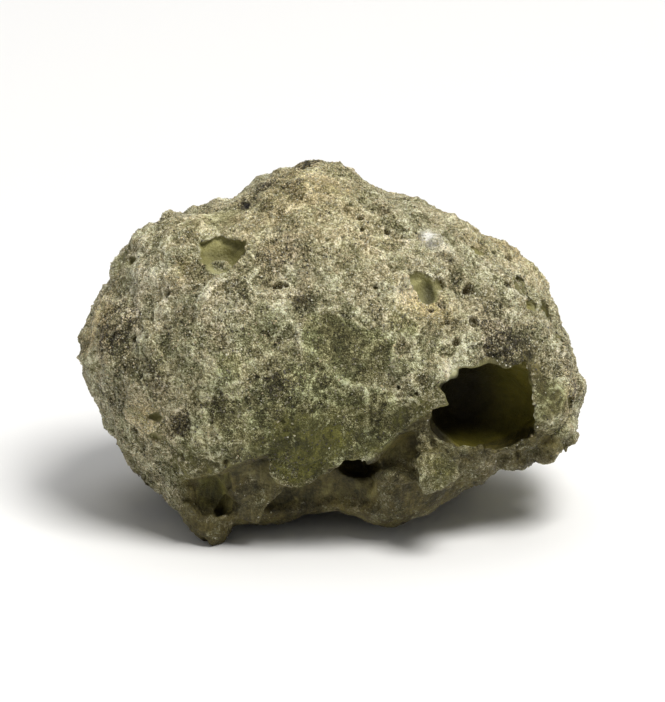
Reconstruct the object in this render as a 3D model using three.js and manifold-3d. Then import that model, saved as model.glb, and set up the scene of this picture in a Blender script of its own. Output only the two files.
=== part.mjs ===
// Trinitite: one lump of bubbly green glass, desert sand that was melted and froze where it lay.
//
// The lump is a low dome of frosted crust. Along its lower front the crust is broken off: its jagged lip
// overhangs the bare glass and the walls of bubbles that the break opened, and a plate of it hangs down
// in the middle. A great bubble is broken open at the lower right, small ones have burst through the
// crust, and the lump stands on blunt drips.
//
// Everything is laid out in the lump's own frame, in millimetres: X to the right, Y to the back and Z up,
// about a point in the middle of the dome. LEAN then tips the lump back onto its drips. The last cut is
// the ground, z = 0, and it leaves a small worn flat under each drip.

import * as THREE from "three";
import { mergeVertices } from "three/addons/utils/BufferGeometryUtils.js";
import Module from "manifold-3d";

const wasm = await Module();
wasm.setup();

// Driving dimensions, in millimetres and degrees.
const LEAN = 20;
const STANDING_HEIGHT = 12.65;
const CENTRE_SHIFT = [0.13, -0.42];
const FRONT_DEPTH = 12.6;
const BACK_DEPTH = 13.2;
const SQUARENESS = 2.3;

// Reach of the dome from its middle, seen from the front, at every 15 degrees from +X towards +Z.
const FRONT_REACH = [
  18.9, 17.3, 15.6, 14.3, 14.0, 13.9, 14.8, 14.9, 14.2, 15.7, 18.2, 18.2,
  19.8, 18.7, 18.1, 16.9, 15.4, 13.8, 12.6, 13.2, 13.0, 14.6, 15.8, 20.2,
];
const REACH_STEP = (2 * Math.PI) / FRONT_REACH.length;

// The crust's lumps: the height and pitch of the broadest ones, and how each finer octave changes.
const LUMP_HEIGHT = 0.55;
const LUMP_PITCH = 0.36;
const LUMP_OCTAVES = 5;
const LUMP_FINER = 1.6;
const LUMP_LOWER = 0.7;

// How finely the lump is divided, and a hollow for each millimetre of its half size.
const LUMP_DETAIL = 14;
const HOLLOW_DETAIL = 0.6;

// Drips and knobs that swell out of the dome, and a dent in its belly: the direction that each points
// in, how wide it is at half its height, and how far it stands out.
const SWELLINGS = {
  front_drip: { towards: [-9.6, -4.0, -12.6], width: 4.4, height: 1.9 },
  middle_drip: { towards: [5.8, -3.8, -12.0], width: 6.0, height: 2.0 },
  left_rear_drip: { towards: [-9.2, 11.0, -9.6], width: 5.0, height: 1.5 },
  right_rear_drip: { towards: [8.8, 10.4, -9.6], width: 5.5, height: 2.75 },
  bubble_rim: { towards: [14.4, -5.0, -8.2], width: 6.5, height: 1.2 },
  belly_dent: { towards: [-0.5, 5.0, -11.5], width: 14.0, height: -0.9 },
  sandy_knob: { towards: [8.6, -8.2, -9.8], width: 3.0, height: 1.3 },
};

// The lower edge of the crust along the front, as corners x, z. The glass below it stands back from it
// by LIP_STEP, and by half as much at LIP_FADE below it.
const LIP = [
  [-14.0, -9.4], [-11.9, -9.8], [-9.1, -9.25], [-6.7, -8.4], [-4.9, -7.95], [-4.5, -9.9], [-3.6, -10.3],
  [-2.5, -10.5], [-1.7, -10.1], [-0.9, -9.5], [0.5, -8.7], [2.0, -8.6], [3.2, -8.2], [4.4, -7.3],
  [5.0, -6.3], [6.5, -5.2], [7.9, -4.5],
];
const LIP_STEP = 0.75;
const LIP_FADE = 2.4;
const LIP_BAND = 3.6;

// Bubbles that are broken open, and what is broken out or left standing under the lip, in order. A
// bubble is an ellipsoid: its centre, its half sizes, and its turn about Y in degrees. A slab is an
// outline of corners x, z between a near and a far y, whose faces slope by so much y for each x and z.
const STEPS = {
  arch: { at: [-1.4, -8.5, -11.6], half: [6.0, 4.5, 3.1], turn: 4 },
  under_plate: {
    outline: [
      [-7.0, -8.9], [-5.7, -8.3], [-4.8, -8.2], [-1.0, -8.8], [0.5, -8.7], [2.0, -8.7], [3.2, -8.3],
      [3.5, -9.6], [2.9, -12.0], [2.0, -17.0], [-7.0, -17.0], [-7.6, -12.6], [-7.7, -10.2],
    ],
    y: [-16, -5.6],
  },
  drip_vesicle: { at: [-9.6, -7.0, -11.3], half: [1.4, 2.0, 1.6], turn: 24 },
  left_notch: {
    outline: [
      [-17.0, -10.5], [-14.8, -10.6], [-13.2, -10.75], [-12.95, -11.2], [-12.8, -11.8], [-12.2, -12.5],
      [-11.4, -13.2], [-11.2, -16.5], [-17.0, -16.5],
    ],
    y: [-16, 5],
  },
  left_undercut: {
    outline: [
      [-11.6, -10.1], [-9.1, -9.6], [-6.8, -8.7], [-6.6, -10.0], [-8.0, -10.7], [-9.6, -10.9], [-11.2, -10.6],
    ],
    y: [-16, -6.6],
    slope: [-0.35, 0],
  },
  right_recess: { at: [5.3, -9.2, -8.0], half: [2.5, 2.2, 1.35], turn: -42 },
  mouth: { at: [2.1, -7.2, -8.95], half: [1.85, 4.0, 1.0] },
  great_bubble: { at: [12.1, -5.7, -4.0], half: [4.6, 4.6, 3.65], turn: 8 },
  bubble_mouth: {
    outline: [
      [7.5, -5.3], [7.8, -4.5], [9.1, -4.1], [8.7, -3.3], [8.3, -2.7], [9.2, -2.1], [9.4, -1.1], [10.4, -1.1],
      [11.2, -1.2], [12.2, -0.7], [13.0, -0.9], [13.7, -1.3], [15.1, -0.4], [15.4, -1.5], [15.7, -2.9],
      [15.8, -4.2], [15.7, -5.4], [14.5, -6.3], [13.3, -6.8], [11.8, -7.3], [10.6, -7.3], [9.7, -7.6],
      [8.7, -7.1], [7.6, -6.2],
    ],
    y: [-16, -6.2],
  },
  back_bubble: { at: [-5.6, 12.6, 0.6], half: [3.0, 2.6, 2.5], turn: 20 },
  under_left: { at: [-4.0, 4.4, -12.9], half: [4.4, 4.2, 2.4] },
  under_right: { at: [2.2, 1.0, -12.7], half: [2.9, 2.4, 1.8] },
  under_side: { at: [-13.2, 0.6, -9.6], half: [2.2, 2.0, 1.7] },
  front_tip: { added: true, at: [-9.35, -4.0, -13.4], half: [1.7, 1.9, 2.1] },
  corner: { added: true, at: [16.9, -3.2, -6.75], half: [1.95, 2.6, 1.85] },
  corner_under: { added: true, at: [14.2, -3.2, -8.3], half: [1.5, 2.4, 0.9] },
  corner_side: { added: true, at: [17.75, -2.8, -6.1], half: [1.3, 2.2, 1.9] },
  right_knob: { added: true, at: [18.6, -2.2, -2.9], half: [1.05, 1.7, 1.2], turn: 20 },
  chunk_undercut: { at: [8.3, -8.3, -11.15], half: [2.2, 1.6, 0.7], turn: -8 },
  wedge: {
    added: true,
    outline: [
      [-7.9, -9.0], [-6.4, -8.3], [-4.9, -8.2], [-4.4, -9.8], [-3.8, -10.7], [-5.0, -11.8], [-5.8, -13.3],
      [-6.8, -13.2], [-7.4, -12.2], [-7.8, -10.6],
    ],
    y: [-7.4, -3.0],
    slope: [0.12, -0.36],
  },
  hanging_plate: {
    added: true,
    outline: [
      [-5.0, -7.8], [-4.8, -9.2], [-4.5, -10.0], [-3.6, -10.5], [-2.5, -10.6], [-1.7, -10.2], [-0.9, -9.6],
      [0.7, -8.7], [0.7, -7.8],
    ],
    y: [-9.4, -8.0],
    slope: [0, -0.6],
  },
  ledge: {
    added: true,
    outline: [[3.1, -9.5], [4.3, -9.1], [6.7, -9.3], [6.6, -10.0], [5.2, -10.4], [3.5, -10.2]],
    y: [-8.3, -5.0],
    slope: [0, 0.3],
  },
  chunk: {
    added: true,
    outline: [
      [6.4, -8.4], [7.3, -7.9], [8.8, -8.0], [9.8, -8.9], [9.7, -9.9], [8.9, -10.5], [7.5, -10.8],
      [6.7, -10.3], [6.9, -9.4],
    ],
    y: [-10.3, -5.6],
    slope: [0.1, -0.2],
  },
  slit: {
    outline: [
      [-8.3, -11.0], [-7.7, -11.5], [-7.1, -12.0], [-8.0, -12.6], [-9.0, -12.9], [-9.25, -12.5],
      [-8.8, -11.8],
    ],
    y: [-16, -4.9],
    slope: [-1.3, 0],
  },
};

// Small bubbles burst through the crust: x and z on the front (-1) or the back (1) of the dome, the
// half sizes of the pit, and how deep its centre lies.
const PITS = {
  triangle_floor: { x: -8.5, z: 7.7, side: -1, half: [1.8, 1.4, 1.4], sink: 0.5 },
  round: { x: 7.3, z: 4.8, side: -1, half: [1.05, 1.1, 1.25], sink: 0.2 },
  right_end: { x: 18.6, z: -4.2, side: -1, half: [0.6, 1.4, 0.95], sink: 0.1 },
  right_groove: { x: 15.6, z: 6.0, side: -1, half: [0.5, 1.1, 1.3], sink: 0.1 },
  right_scoop: { x: 16.7, z: 3.0, side: -1, half: [0.55, 1.0, 1.1], sink: 0.1 },
  back_right: { x: 14.6, z: 4.2, side: 1, half: [1.3, 1.2, 1.0], sink: 0.2 },
  back_high: { x: 6.4, z: 7.6, side: 1, half: [1.1, 1.1, 1.2], sink: 0.3 },
  back_middle: { x: 1.6, z: -3.4, side: 1, half: [1.5, 1.2, 1.1], sink: 0.3 },
  back_left: { x: -12.6, z: -4.2, side: 1, half: [1.0, 1.0, 1.3], sink: 0.2 },
  back_low: { x: 9.8, z: -0.8, side: 1, half: [0.9, 0.9, 0.8], sink: 0.2 },
  back_end: { x: -16.4, z: 5.0, side: 1, half: [0.9, 0.9, 0.7], sink: 0.1 },
};
const TRIANGLE = {
  outline: [
    [-10.4, 8.5], [-9.5, 8.9], [-8.6, 9.1], [-7.6, 8.7], [-6.5, 8.5], [-6.8, 7.8], [-7.2, 7.1],
    [-7.7, 6.5], [-8.4, 6.1], [-9.2, 6.0], [-9.7, 6.5], [-9.8, 7.3], [-10.1, 8.0],
  ],
  y: [-16, -8.5],
  slope: [-0.05, 0.3],
};

/** The dome's reach from its middle in a front-view direction: a smooth curve through FRONT_REACH. */
function frontReach(angle) {
  const place = THREE.MathUtils.euclideanModulo(angle, 2 * Math.PI) / REACH_STEP;
  const step = Math.floor(place);
  const t = place - step;
  const [a, b, c, d] = [-1, 0, 1, 2].map(
    (k) => FRONT_REACH[THREE.MathUtils.euclideanModulo(step + k, FRONT_REACH.length)],
  );
  return b + 0.5 * t * (c - a + t * (2 * a - 5 * b + 4 * c - d + t * (3 * (b - c) + d - a)));
}

/** Rolling lumps at a point: octaves of sine waves, each crossing the lump in its own direction. */
function lumps(point) {
  let height = 0;
  for (let wave = 0; wave < 3 * LUMP_OCTAVES; wave++) {
    const octave = Math.floor(wave / 3);
    const along =
      point.x * Math.cos(2.4 * wave) +
      point.y * Math.sin(2.4 * wave) +
      point.z * Math.cos(1.3 * wave + 0.6);
    const pitch = LUMP_PITCH * LUMP_FINER ** octave;
    height += (LUMP_LOWER ** octave * Math.sin(pitch * along + 1.7 * wave)) / 3;
  }
  return LUMP_HEIGHT * height;
}

/** A closed ball of triangles, each vertex moved to place(direction). */
function ball(detail, place) {
  const round = new THREE.IcosahedronGeometry(1, detail);
  round.deleteAttribute("normal");
  round.deleteAttribute("uv");
  const geometry = mergeVertices(round, 1e-4);
  const positions = geometry.getAttribute("position");
  for (let i = 0; i < positions.count; i++) {
    const direction = new THREE.Vector3().fromBufferAttribute(positions, i).normalize();
    positions.setXYZ(i, ...place(direction));
  }
  return geometry;
}

/** The dome's reach in a direction: FRONT_REACH blown up to the front and back depths. */
function domeReach(direction) {
  const across = Math.hypot(direction.x, direction.z) / frontReach(Math.atan2(direction.z, direction.x));
  const depth = Math.abs(direction.y) / (direction.y < 0 ? FRONT_DEPTH : BACK_DEPTH);
  return (across ** SQUARENESS + depth ** SQUARENESS) ** (-1 / SQUARENESS);
}

/** The lump's outside in a direction: the dome, the swellings on it, and the crust's lumps. */
function outside(direction) {
  const point = direction.clone().multiplyScalar(domeReach(direction));
  let height = lumps(point);
  for (const { towards, width, height: rise } of Object.values(SWELLINGS)) {
    const axis = new THREE.Vector3(...towards).normalize();
    const away = point.distanceTo(axis.multiplyScalar(domeReach(axis))) / (0.5 * width);
    height += rise * 2 ** -(away ** 2.6);
  }
  return point.addScaledVector(direction, height);
}

/** The dome's outside where it stands back under the lip, fading downwards. */
function outsideUnderLip(direction) {
  const point = outside(direction);
  const next = LIP.findIndex(([x]) => x > point.x);
  const [a, b] = [LIP[Math.max(next - 1, 0)], LIP.at(next)];
  const drop = THREE.MathUtils.mapLinear(point.x, a[0], b[0] + 1e-9, a[1], b[1]) - point.z;
  const back = LIP_STEP * 2 ** -((Math.max(drop, 0) / LIP_FADE) ** 2);
  return point.addScaledVector(direction, -back);
}

/** A bubble or a bulge: an ellipsoid turned about Y, with half of the lumps. */
function bubble({ at, half, turn = 0 }) {
  const turned = new THREE.Quaternion().setFromAxisAngle(
    new THREE.Vector3(0, 1, 0),
    THREE.MathUtils.degToRad(turn),
  );
  return ball(Math.ceil(HOLLOW_DETAIL * Math.max(...half)), (direction) => {
    const point = direction.clone().multiply(new THREE.Vector3(...half)).applyQuaternion(turned);
    point.add(new THREE.Vector3(...at));
    return point.addScaledVector(direction, Math.min(...half) > 1.6 ? 0.5 * lumps(point) : 0);
  });
}

/** A slab: an outline in x, z drawn out between its two y, its faces sloping about its middle. */
function slab({ outline, y: [near, far], slope = [0, 0] }) {
  const shape = new THREE.Shape(outline.map(([x, z]) => new THREE.Vector2(x, z)));
  const drawn = new THREE.ExtrudeGeometry(shape, { depth: far - near, bevelEnabled: false });
  drawn.deleteAttribute("normal");
  drawn.deleteAttribute("uv");
  const [x, z] = [0, 1].map((k) => outline.reduce((sum, corner) => sum + corner[k], 0) / outline.length);
  const sloped = new THREE.Matrix4().set(
    1, 0, 0, 0,
    slope[0], slope[1], -1, far - slope[0] * x - slope[1] * z,
    0, 1, 0, 0,
    0, 0, 0, 1,
  );
  return mergeVertices(drawn).applyMatrix4(sloped);
}

/** A pit: a small hollow whose centre lies under the crust at x, z. */
function pit({ x, z, side, half, sink }) {
  const across = Math.hypot(x, z) / frontReach(Math.atan2(z, x));
  const depth = side < 0 ? FRONT_DEPTH : BACK_DEPTH;
  const y = side * depth * Math.max(1 - across ** SQUARENESS, 0) ** (1 / SQUARENESS);
  return bubble({ at: [x, y - side * sink, z], half });
}

// The lump's own frame tipped back onto its drips, standing on z = 0.
const STANCE = new THREE.Matrix4()
  .makeTranslation(...CENTRE_SHIFT, STANDING_HEIGHT)
  .multiply(new THREE.Matrix4().makeRotationX(THREE.MathUtils.degToRad(-LEAN)));

/** A closed geometry of the lump's own frame as a solid that stands on the ground. */
function solidOf(geometry) {
  geometry.applyMatrix4(STANCE);
  return new wasm.Manifold(
    new wasm.Mesh({
      numProp: 3,
      vertProperties: new Float32Array(geometry.getAttribute("position").array),
      triVerts: new Uint32Array(geometry.index.array),
    }),
  );
}

/** A solid as a geometry. */
function geometryOf(solid) {
  const { vertProperties, triVerts } = solid.getMesh();
  const geometry = new THREE.BufferGeometry();
  geometry.setAttribute("position", new THREE.BufferAttribute(vertProperties, 3));
  geometry.setIndex(new THREE.BufferAttribute(triVerts, 1));
  geometry.computeVertexNormals();
  return geometry;
}

/** The whole lump: its outside, stepped back under the lip, then broken, pitted and cut at the ground. */
function lump() {
  const band = [...LIP, ...LIP.map(([x, z]) => [x, z - LIP_BAND]).reverse()];
  const underLip = solidOf(slab({ outline: band, y: [-16, -3] }));
  const setBack = underLip.subtract(solidOf(ball(LUMP_DETAIL, outsideUnderLip)));
  let solid = solidOf(ball(LUMP_DETAIL, outside)).subtract(setBack);
  for (const step of Object.values(STEPS)) {
    const shape = solidOf(step.outline ? slab(step) : bubble(step));
    solid = step.added ? solid.add(shape) : solid.subtract(shape);
  }
  solid = solid.subtract(solidOf(slab(TRIANGLE)));
  for (const spec of Object.values(PITS)) solid = solid.subtract(solidOf(pit(spec)));
  const box = new THREE.BoxGeometry(90, 90, 20);
  box.deleteAttribute("normal");
  box.deleteAttribute("uv");
  const ground = mergeVertices(box).applyMatrix4(
    STANCE.clone().invert().multiply(new THREE.Matrix4().makeTranslation(0, 0, -10)),
  );
  return geometryOf(solid.subtract(solidOf(ground)));
}

const trinitite = new THREE.Mesh(
  lump(),
  new THREE.MeshStandardMaterial({ color: 0x8f8868, roughness: 0.8, metalness: 0 }),
);
trinitite.name = "trinitite";

const group = new THREE.Group();
group.add(trinitite);
export default group;
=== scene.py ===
"""Trinitite: the looks of one lump of bubbly green desert glass.

The lump's outside is a dome blown up from its front outline, with drips and knobs swelling out of it.
Bubbles and breaks are cut into it, its skin is roughened, and sand grains are frozen onto it.

Lengths are in millimetres in the lump's own frame: X to the right, Y to the back and Z up, about a
point in the middle of the dome. A Stance tips a finished mesh back onto its drips, in metres.
"""

import logging
import math
from dataclasses import dataclass, field
from enum import Enum
from typing import Optional, Sequence, Union

import bpy
import numpy as np
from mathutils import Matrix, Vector


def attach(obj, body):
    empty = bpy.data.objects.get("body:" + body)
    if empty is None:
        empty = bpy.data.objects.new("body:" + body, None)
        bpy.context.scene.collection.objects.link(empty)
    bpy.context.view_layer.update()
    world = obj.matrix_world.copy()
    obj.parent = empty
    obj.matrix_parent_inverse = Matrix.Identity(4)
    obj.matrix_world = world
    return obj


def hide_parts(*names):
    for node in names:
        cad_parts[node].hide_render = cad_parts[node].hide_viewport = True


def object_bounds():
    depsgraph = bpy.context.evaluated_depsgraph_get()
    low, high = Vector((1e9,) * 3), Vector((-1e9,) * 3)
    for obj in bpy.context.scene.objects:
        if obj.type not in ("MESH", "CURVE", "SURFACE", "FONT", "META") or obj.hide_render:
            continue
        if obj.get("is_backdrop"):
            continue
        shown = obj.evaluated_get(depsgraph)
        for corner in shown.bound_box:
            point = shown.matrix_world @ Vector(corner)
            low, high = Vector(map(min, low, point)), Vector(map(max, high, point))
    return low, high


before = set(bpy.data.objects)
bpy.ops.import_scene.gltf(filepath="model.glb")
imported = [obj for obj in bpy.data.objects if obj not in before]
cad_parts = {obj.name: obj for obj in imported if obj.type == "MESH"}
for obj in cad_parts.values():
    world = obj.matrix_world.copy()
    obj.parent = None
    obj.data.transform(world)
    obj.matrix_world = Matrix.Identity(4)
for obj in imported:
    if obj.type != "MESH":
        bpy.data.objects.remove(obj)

LOG = logging.getLogger("trinitite")
Vec3 = tuple[float, float, float]

# A distance in millimetres beyond any on the lump, to start a search for the nearest thing with.
FAR_OFF = 99.0


# ----------------------------------------
# Noise that the skin is roughened with
# ----------------------------------------


def scatter_numbers(cells: np.ndarray, seed: int) -> np.ndarray:
    """Give every lattice cell its own number from 0 to 1, by mixing the bits of its indices.

    Args:
        cells: Whole-number cell indices, shape (..., 3).
        seed: Picks one of many such sets of numbers.

    Returns:
        The numbers, shape (...).
    """
    mixed = cells.astype(np.int64).astype(np.uint32)
    bits = mixed[..., 0] * np.uint32(0x8DA6B343) ^ mixed[..., 1] * np.uint32(0xD8163841)
    bits ^= mixed[..., 2] * np.uint32(0xCB1AB31F) ^ np.uint32((seed * 0x9E3779B1) & 0xFFFFFFFF)
    for shift, factor in ((16, 0x7FEB352D), (15, 0x846CA68B)):
        bits ^= bits >> np.uint32(shift)
        bits *= np.uint32(factor)
    bits ^= bits >> np.uint32(16)
    return bits.astype(np.float64) / 0xFFFFFFFF


def scatter_places(cells: np.ndarray, seed: int) -> np.ndarray:
    """Give every lattice cell its own place: a number from 0 to 1 along each axis, shape (..., 3)."""
    return np.stack([scatter_numbers(cells, seed + axis) for axis in range(3)], axis=-1)


def ripples(points: np.ndarray, pitch: float, seed: int) -> np.ndarray:
    """Smooth noise from about -1 to 1: a random slope at each lattice corner, blended between corners.

    Args:
        points: Positions in millimetres, shape (n, 3).
        pitch: Size of a lattice cell in millimetres.
        seed: Picks the noise.

    Returns:
        The noise at each position, shape (n,).
    """
    place = points / pitch
    cell = np.floor(place)
    inside = place - cell
    blend = inside ** 3 * (inside * (inside * 6 - 15) + 10)
    total = np.zeros(len(points))
    for corner in np.ndindex(2, 2, 2):
        corner_cell = cell + corner
        slope = scatter_places(corner_cell, seed) * 2 - 1
        weight = np.prod(np.where(corner, blend, 1 - blend), axis=-1)
        total += weight * np.einsum("ij,ij->i", slope, inside - corner)
    return total * 1.6


def rough(points: np.ndarray, pitch: float, octaves: int, seed: int, lower: float = 0.5) -> np.ndarray:
    """Octaves of ripples added up, each with half the pitch and a lower height than the last.

    Args:
        points: Positions in millimetres, shape (n, 3).
        pitch: Pitch of the broadest octave in millimetres.
        octaves: How many octaves.
        seed: Picks the noise.
        lower: Height of each octave as a share of the one before.

    Returns:
        The noise at each position, shape (n,).
    """
    waves = (lower ** k * ripples(points, pitch / 2 ** k, seed + 7 * k) for k in range(octaves))
    return sum(waves)


def stirred(points: np.ndarray, height: float, pitch: float, octaves: int, seed: int) -> np.ndarray:
    """Points pushed about by rough noise, another one along each axis.

    Args:
        points: Positions in millimetres, shape (n, 3).
        height: Height of the noise in millimetres.
        pitch: Pitch of its broadest octave.
        octaves: How many octaves it has.
        seed: Picks the noise.

    Returns:
        The positions pushed about, shape (n, 3).
    """
    push = (height * rough(points, pitch, octaves, seed + axis, 0.6) for axis in range(3))
    return points + np.stack(list(push), axis=-1)


def pebbles(points: np.ndarray, pitch: float, seed: int) -> tuple[np.ndarray, np.ndarray, np.ndarray]:
    """Split space into cells about one scattered seed in each lattice square.

    Args:
        points: Positions in millimetres, shape (n, 3).
        pitch: Size of a lattice square in millimetres.
        seed: Picks the scatter.

    Returns:
        The distance to the nearest seed and how much further the next one is, as shares of the pitch,
        and the nearest seed's own number from 0 to 1, each of shape (n,).
    """
    place = points / pitch
    cell = np.floor(place)
    nearest, second = np.full(len(points), FAR_OFF), np.full(len(points), FAR_OFF)
    number = np.zeros(len(points))
    for step in np.ndindex(3, 3, 3):
        other = cell + np.array(step) - 1
        spot = other + scatter_places(other, seed)
        distance = np.linalg.norm(place - spot, axis=-1)
        closer = distance < nearest
        second = np.where(closer, nearest, np.minimum(second, distance))
        nearest = np.where(closer, distance, nearest)
        number = np.where(closer, scatter_numbers(other, seed + 3), number)
    return nearest, second - nearest, number


def ramp(values: np.ndarray, start: float, end: float) -> np.ndarray:
    """Rise smoothly from 0 at start to 1 at end, flat outside them."""
    t = np.clip((values - start) / (end - start), 0, 1)
    return t * t * (3 - 2 * t)


# ----------------------------------------
# Meshes
# ----------------------------------------


@dataclass(frozen=True)
class Surface:
    """A mesh as arrays: corner points, faces of one size, and named numbers at the points."""

    points: np.ndarray
    faces: np.ndarray
    numbers: dict[str, np.ndarray] = field(default_factory=dict)

    def to_object(self, name: str) -> bpy.types.Object:
        """Put the arrays into a new object at the origin, with smooth shading.

        Args:
            name: Name of the object and its mesh.

        Returns:
            The object, linked into the scene.
        """
        mesh = bpy.data.meshes.new(name)
        count, sides = self.faces.shape
        mesh.vertices.add(len(self.points))
        write_points(mesh, self.points)
        mesh.loops.add(count * sides)
        mesh.loops.foreach_set("vertex_index", self.faces.astype(np.int32).ravel())
        mesh.polygons.add(count)
        mesh.polygons.foreach_set("loop_start", np.arange(0, count * sides, sides, dtype=np.int32))
        mesh.update(calc_edges=True)
        shade_faces(mesh, True)
        for key, values in self.numbers.items():
            write_number(mesh, key, values)
        obj = bpy.data.objects.new(name, mesh)
        bpy.context.scene.collection.objects.link(obj)
        return obj


def block_ball(count: int) -> Surface:
    """A closed ball of radius 1: a count by count grid on each side of a block, blown up to a sphere.

    A grid line at share t across a side stands at tan(45 degrees x (2t - 1)), so the squares stay even.

    Args:
        count: Squares along each edge of the block.

    Returns:
        The ball, facing outwards.
    """
    u, v = np.meshgrid(np.arange(count + 1), np.arange(count + 1), indexing="ij")
    flat = np.stack([u, v], axis=-1).reshape(-1, 2)
    square = np.arange(count * (count + 1)).reshape(count, count + 1)[:, :-1].ravel()
    square = np.stack([square, square + count + 1, square + count + 2, square + 1], axis=-1)
    grids, quads = [], []
    for axis in range(3):
        for end in (0, count):
            grids.append(np.insert(flat, axis, end, axis=1))
            turn = (end > 0) == (axis != 1)
            quads.append((square if turn else square[:, ::-1]) + len(flat) * len(quads))
    lattice, which = np.unique(np.concatenate(grids), axis=0, return_inverse=True)
    directions = np.tan(math.pi / 4 * (2 * lattice / count - 1))
    directions /= np.linalg.norm(directions, axis=1, keepdims=True)
    return Surface(directions, which.ravel()[np.concatenate(quads)])


def apply_modifiers(obj: bpy.types.Object) -> None:
    """Replace an object's mesh by what its modifiers make of it.

    Args:
        obj: The object, whose modifiers are used up.
    """
    depsgraph = bpy.context.evaluated_depsgraph_get()
    mesh = bpy.data.meshes.new_from_object(obj.evaluated_get(depsgraph))
    obj.modifiers.clear()
    old, obj.data = obj.data, mesh
    bpy.data.meshes.remove(old)


def read_points(mesh: bpy.types.Mesh) -> tuple[np.ndarray, np.ndarray]:
    """Read a mesh's points and the outward normals at them.

    Args:
        mesh: The mesh.

    Returns:
        The points and the normals, each of shape (n, 3).
    """
    points = np.empty(len(mesh.vertices) * 3, np.float32)
    normals = np.empty(len(mesh.vertices) * 3, np.float32)
    mesh.vertices.foreach_get("co", points)
    mesh.vertices.foreach_get("normal", normals)
    return points.reshape(-1, 3).astype(float), normals.reshape(-1, 3).astype(float)


def write_points(mesh: bpy.types.Mesh, points: np.ndarray) -> None:
    """Put a mesh's points at new positions."""
    mesh.vertices.foreach_set("co", points.astype(np.float32).ravel())


def shade_faces(mesh: bpy.types.Mesh, smooth: bool) -> None:
    """Shade all faces of a mesh smooth or flat."""
    mesh.polygons.foreach_set("use_smooth", np.full(len(mesh.polygons), smooth))


def write_number(mesh: bpy.types.Mesh, key: str, values: np.ndarray) -> None:
    """Keep one number for each point of a mesh under a name."""
    mesh.attributes.new(key, "FLOAT", "POINT").data.foreach_set("value", values.astype(np.float32))


def read_number(mesh: bpy.types.Mesh, key: str) -> np.ndarray:
    """Read one of a mesh's named point numbers.

    Args:
        mesh: The mesh.
        key: The number's name.

    Returns:
        Its value at each point.
    """
    values = np.empty(len(mesh.vertices), np.float32)
    mesh.attributes[key].data.foreach_get("value", values)
    return values.astype(float)


# ----------------------------------------
# Shapes of the lump
# ----------------------------------------


@dataclass(frozen=True)
class Stance:
    """How the lump's own frame stands in the row's frame: leaned back, lifted, centred, in metres."""

    lean: float = 20.0
    height: float = 12.65
    shift: tuple[float, float] = (0.13, -0.42)

    def place(self, points: np.ndarray) -> np.ndarray:
        """Turn points about X by minus the lean, then move them and change millimetres to metres.

        Args:
            points: Positions in the lump's own frame, in millimetres, shape (n, 3).

        Returns:
            The positions as it stands, in metres.
        """
        cos, sin = math.cos(math.radians(self.lean)), math.sin(math.radians(self.lean))
        x, y, z = points.T
        stood = np.stack([x, y * cos + z * sin, z * cos - y * sin], axis=-1)
        return (stood + (*self.shift, self.height)) / 1000

    def put(self, position: Vec3) -> Vector:
        """One position of the lump's own frame, in the row's frame."""
        return Vector(self.place(np.array([position]))[0])


@dataclass(frozen=True)
class Swelling:
    """A drip or knob that stands out of the dome, or a dent where its height is negative."""

    towards: Vec3
    width: float
    height: float


@dataclass(frozen=True)
class Bubble:
    """An ellipsoid turned about Y: a bubble or break where it is cut, a knob where it is added."""

    at: Vec3
    half: Vec3
    turn: float = 0.0
    ragged: float = 0.35

    def axes(self) -> np.ndarray:
        """The ellipsoid's own axes as rows: X and Z turned about Y, as a right-hand turn."""
        cos, sin = math.cos(math.radians(self.turn)), math.sin(math.radians(self.turn))
        return np.array([[cos, 0, -sin], [0, 1, 0], [sin, 0, cos]])

    def spread(self, directions: np.ndarray) -> np.ndarray:
        """Points of the ellipsoid: each direction stretched to the half sizes, turned and moved."""
        return (directions * self.half) @ self.axes() + self.at

    def gap(self, points: np.ndarray) -> np.ndarray:
        """Rough distance in millimetres from the ellipsoid's wall, negative inside it.

        It is (|q| - 1) times the smallest half size, q being the point in units of the half sizes.
        """
        own = (points - self.at) @ self.axes().T / self.half
        return (np.linalg.norm(own, axis=-1) - 1) * min(self.half)


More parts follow.
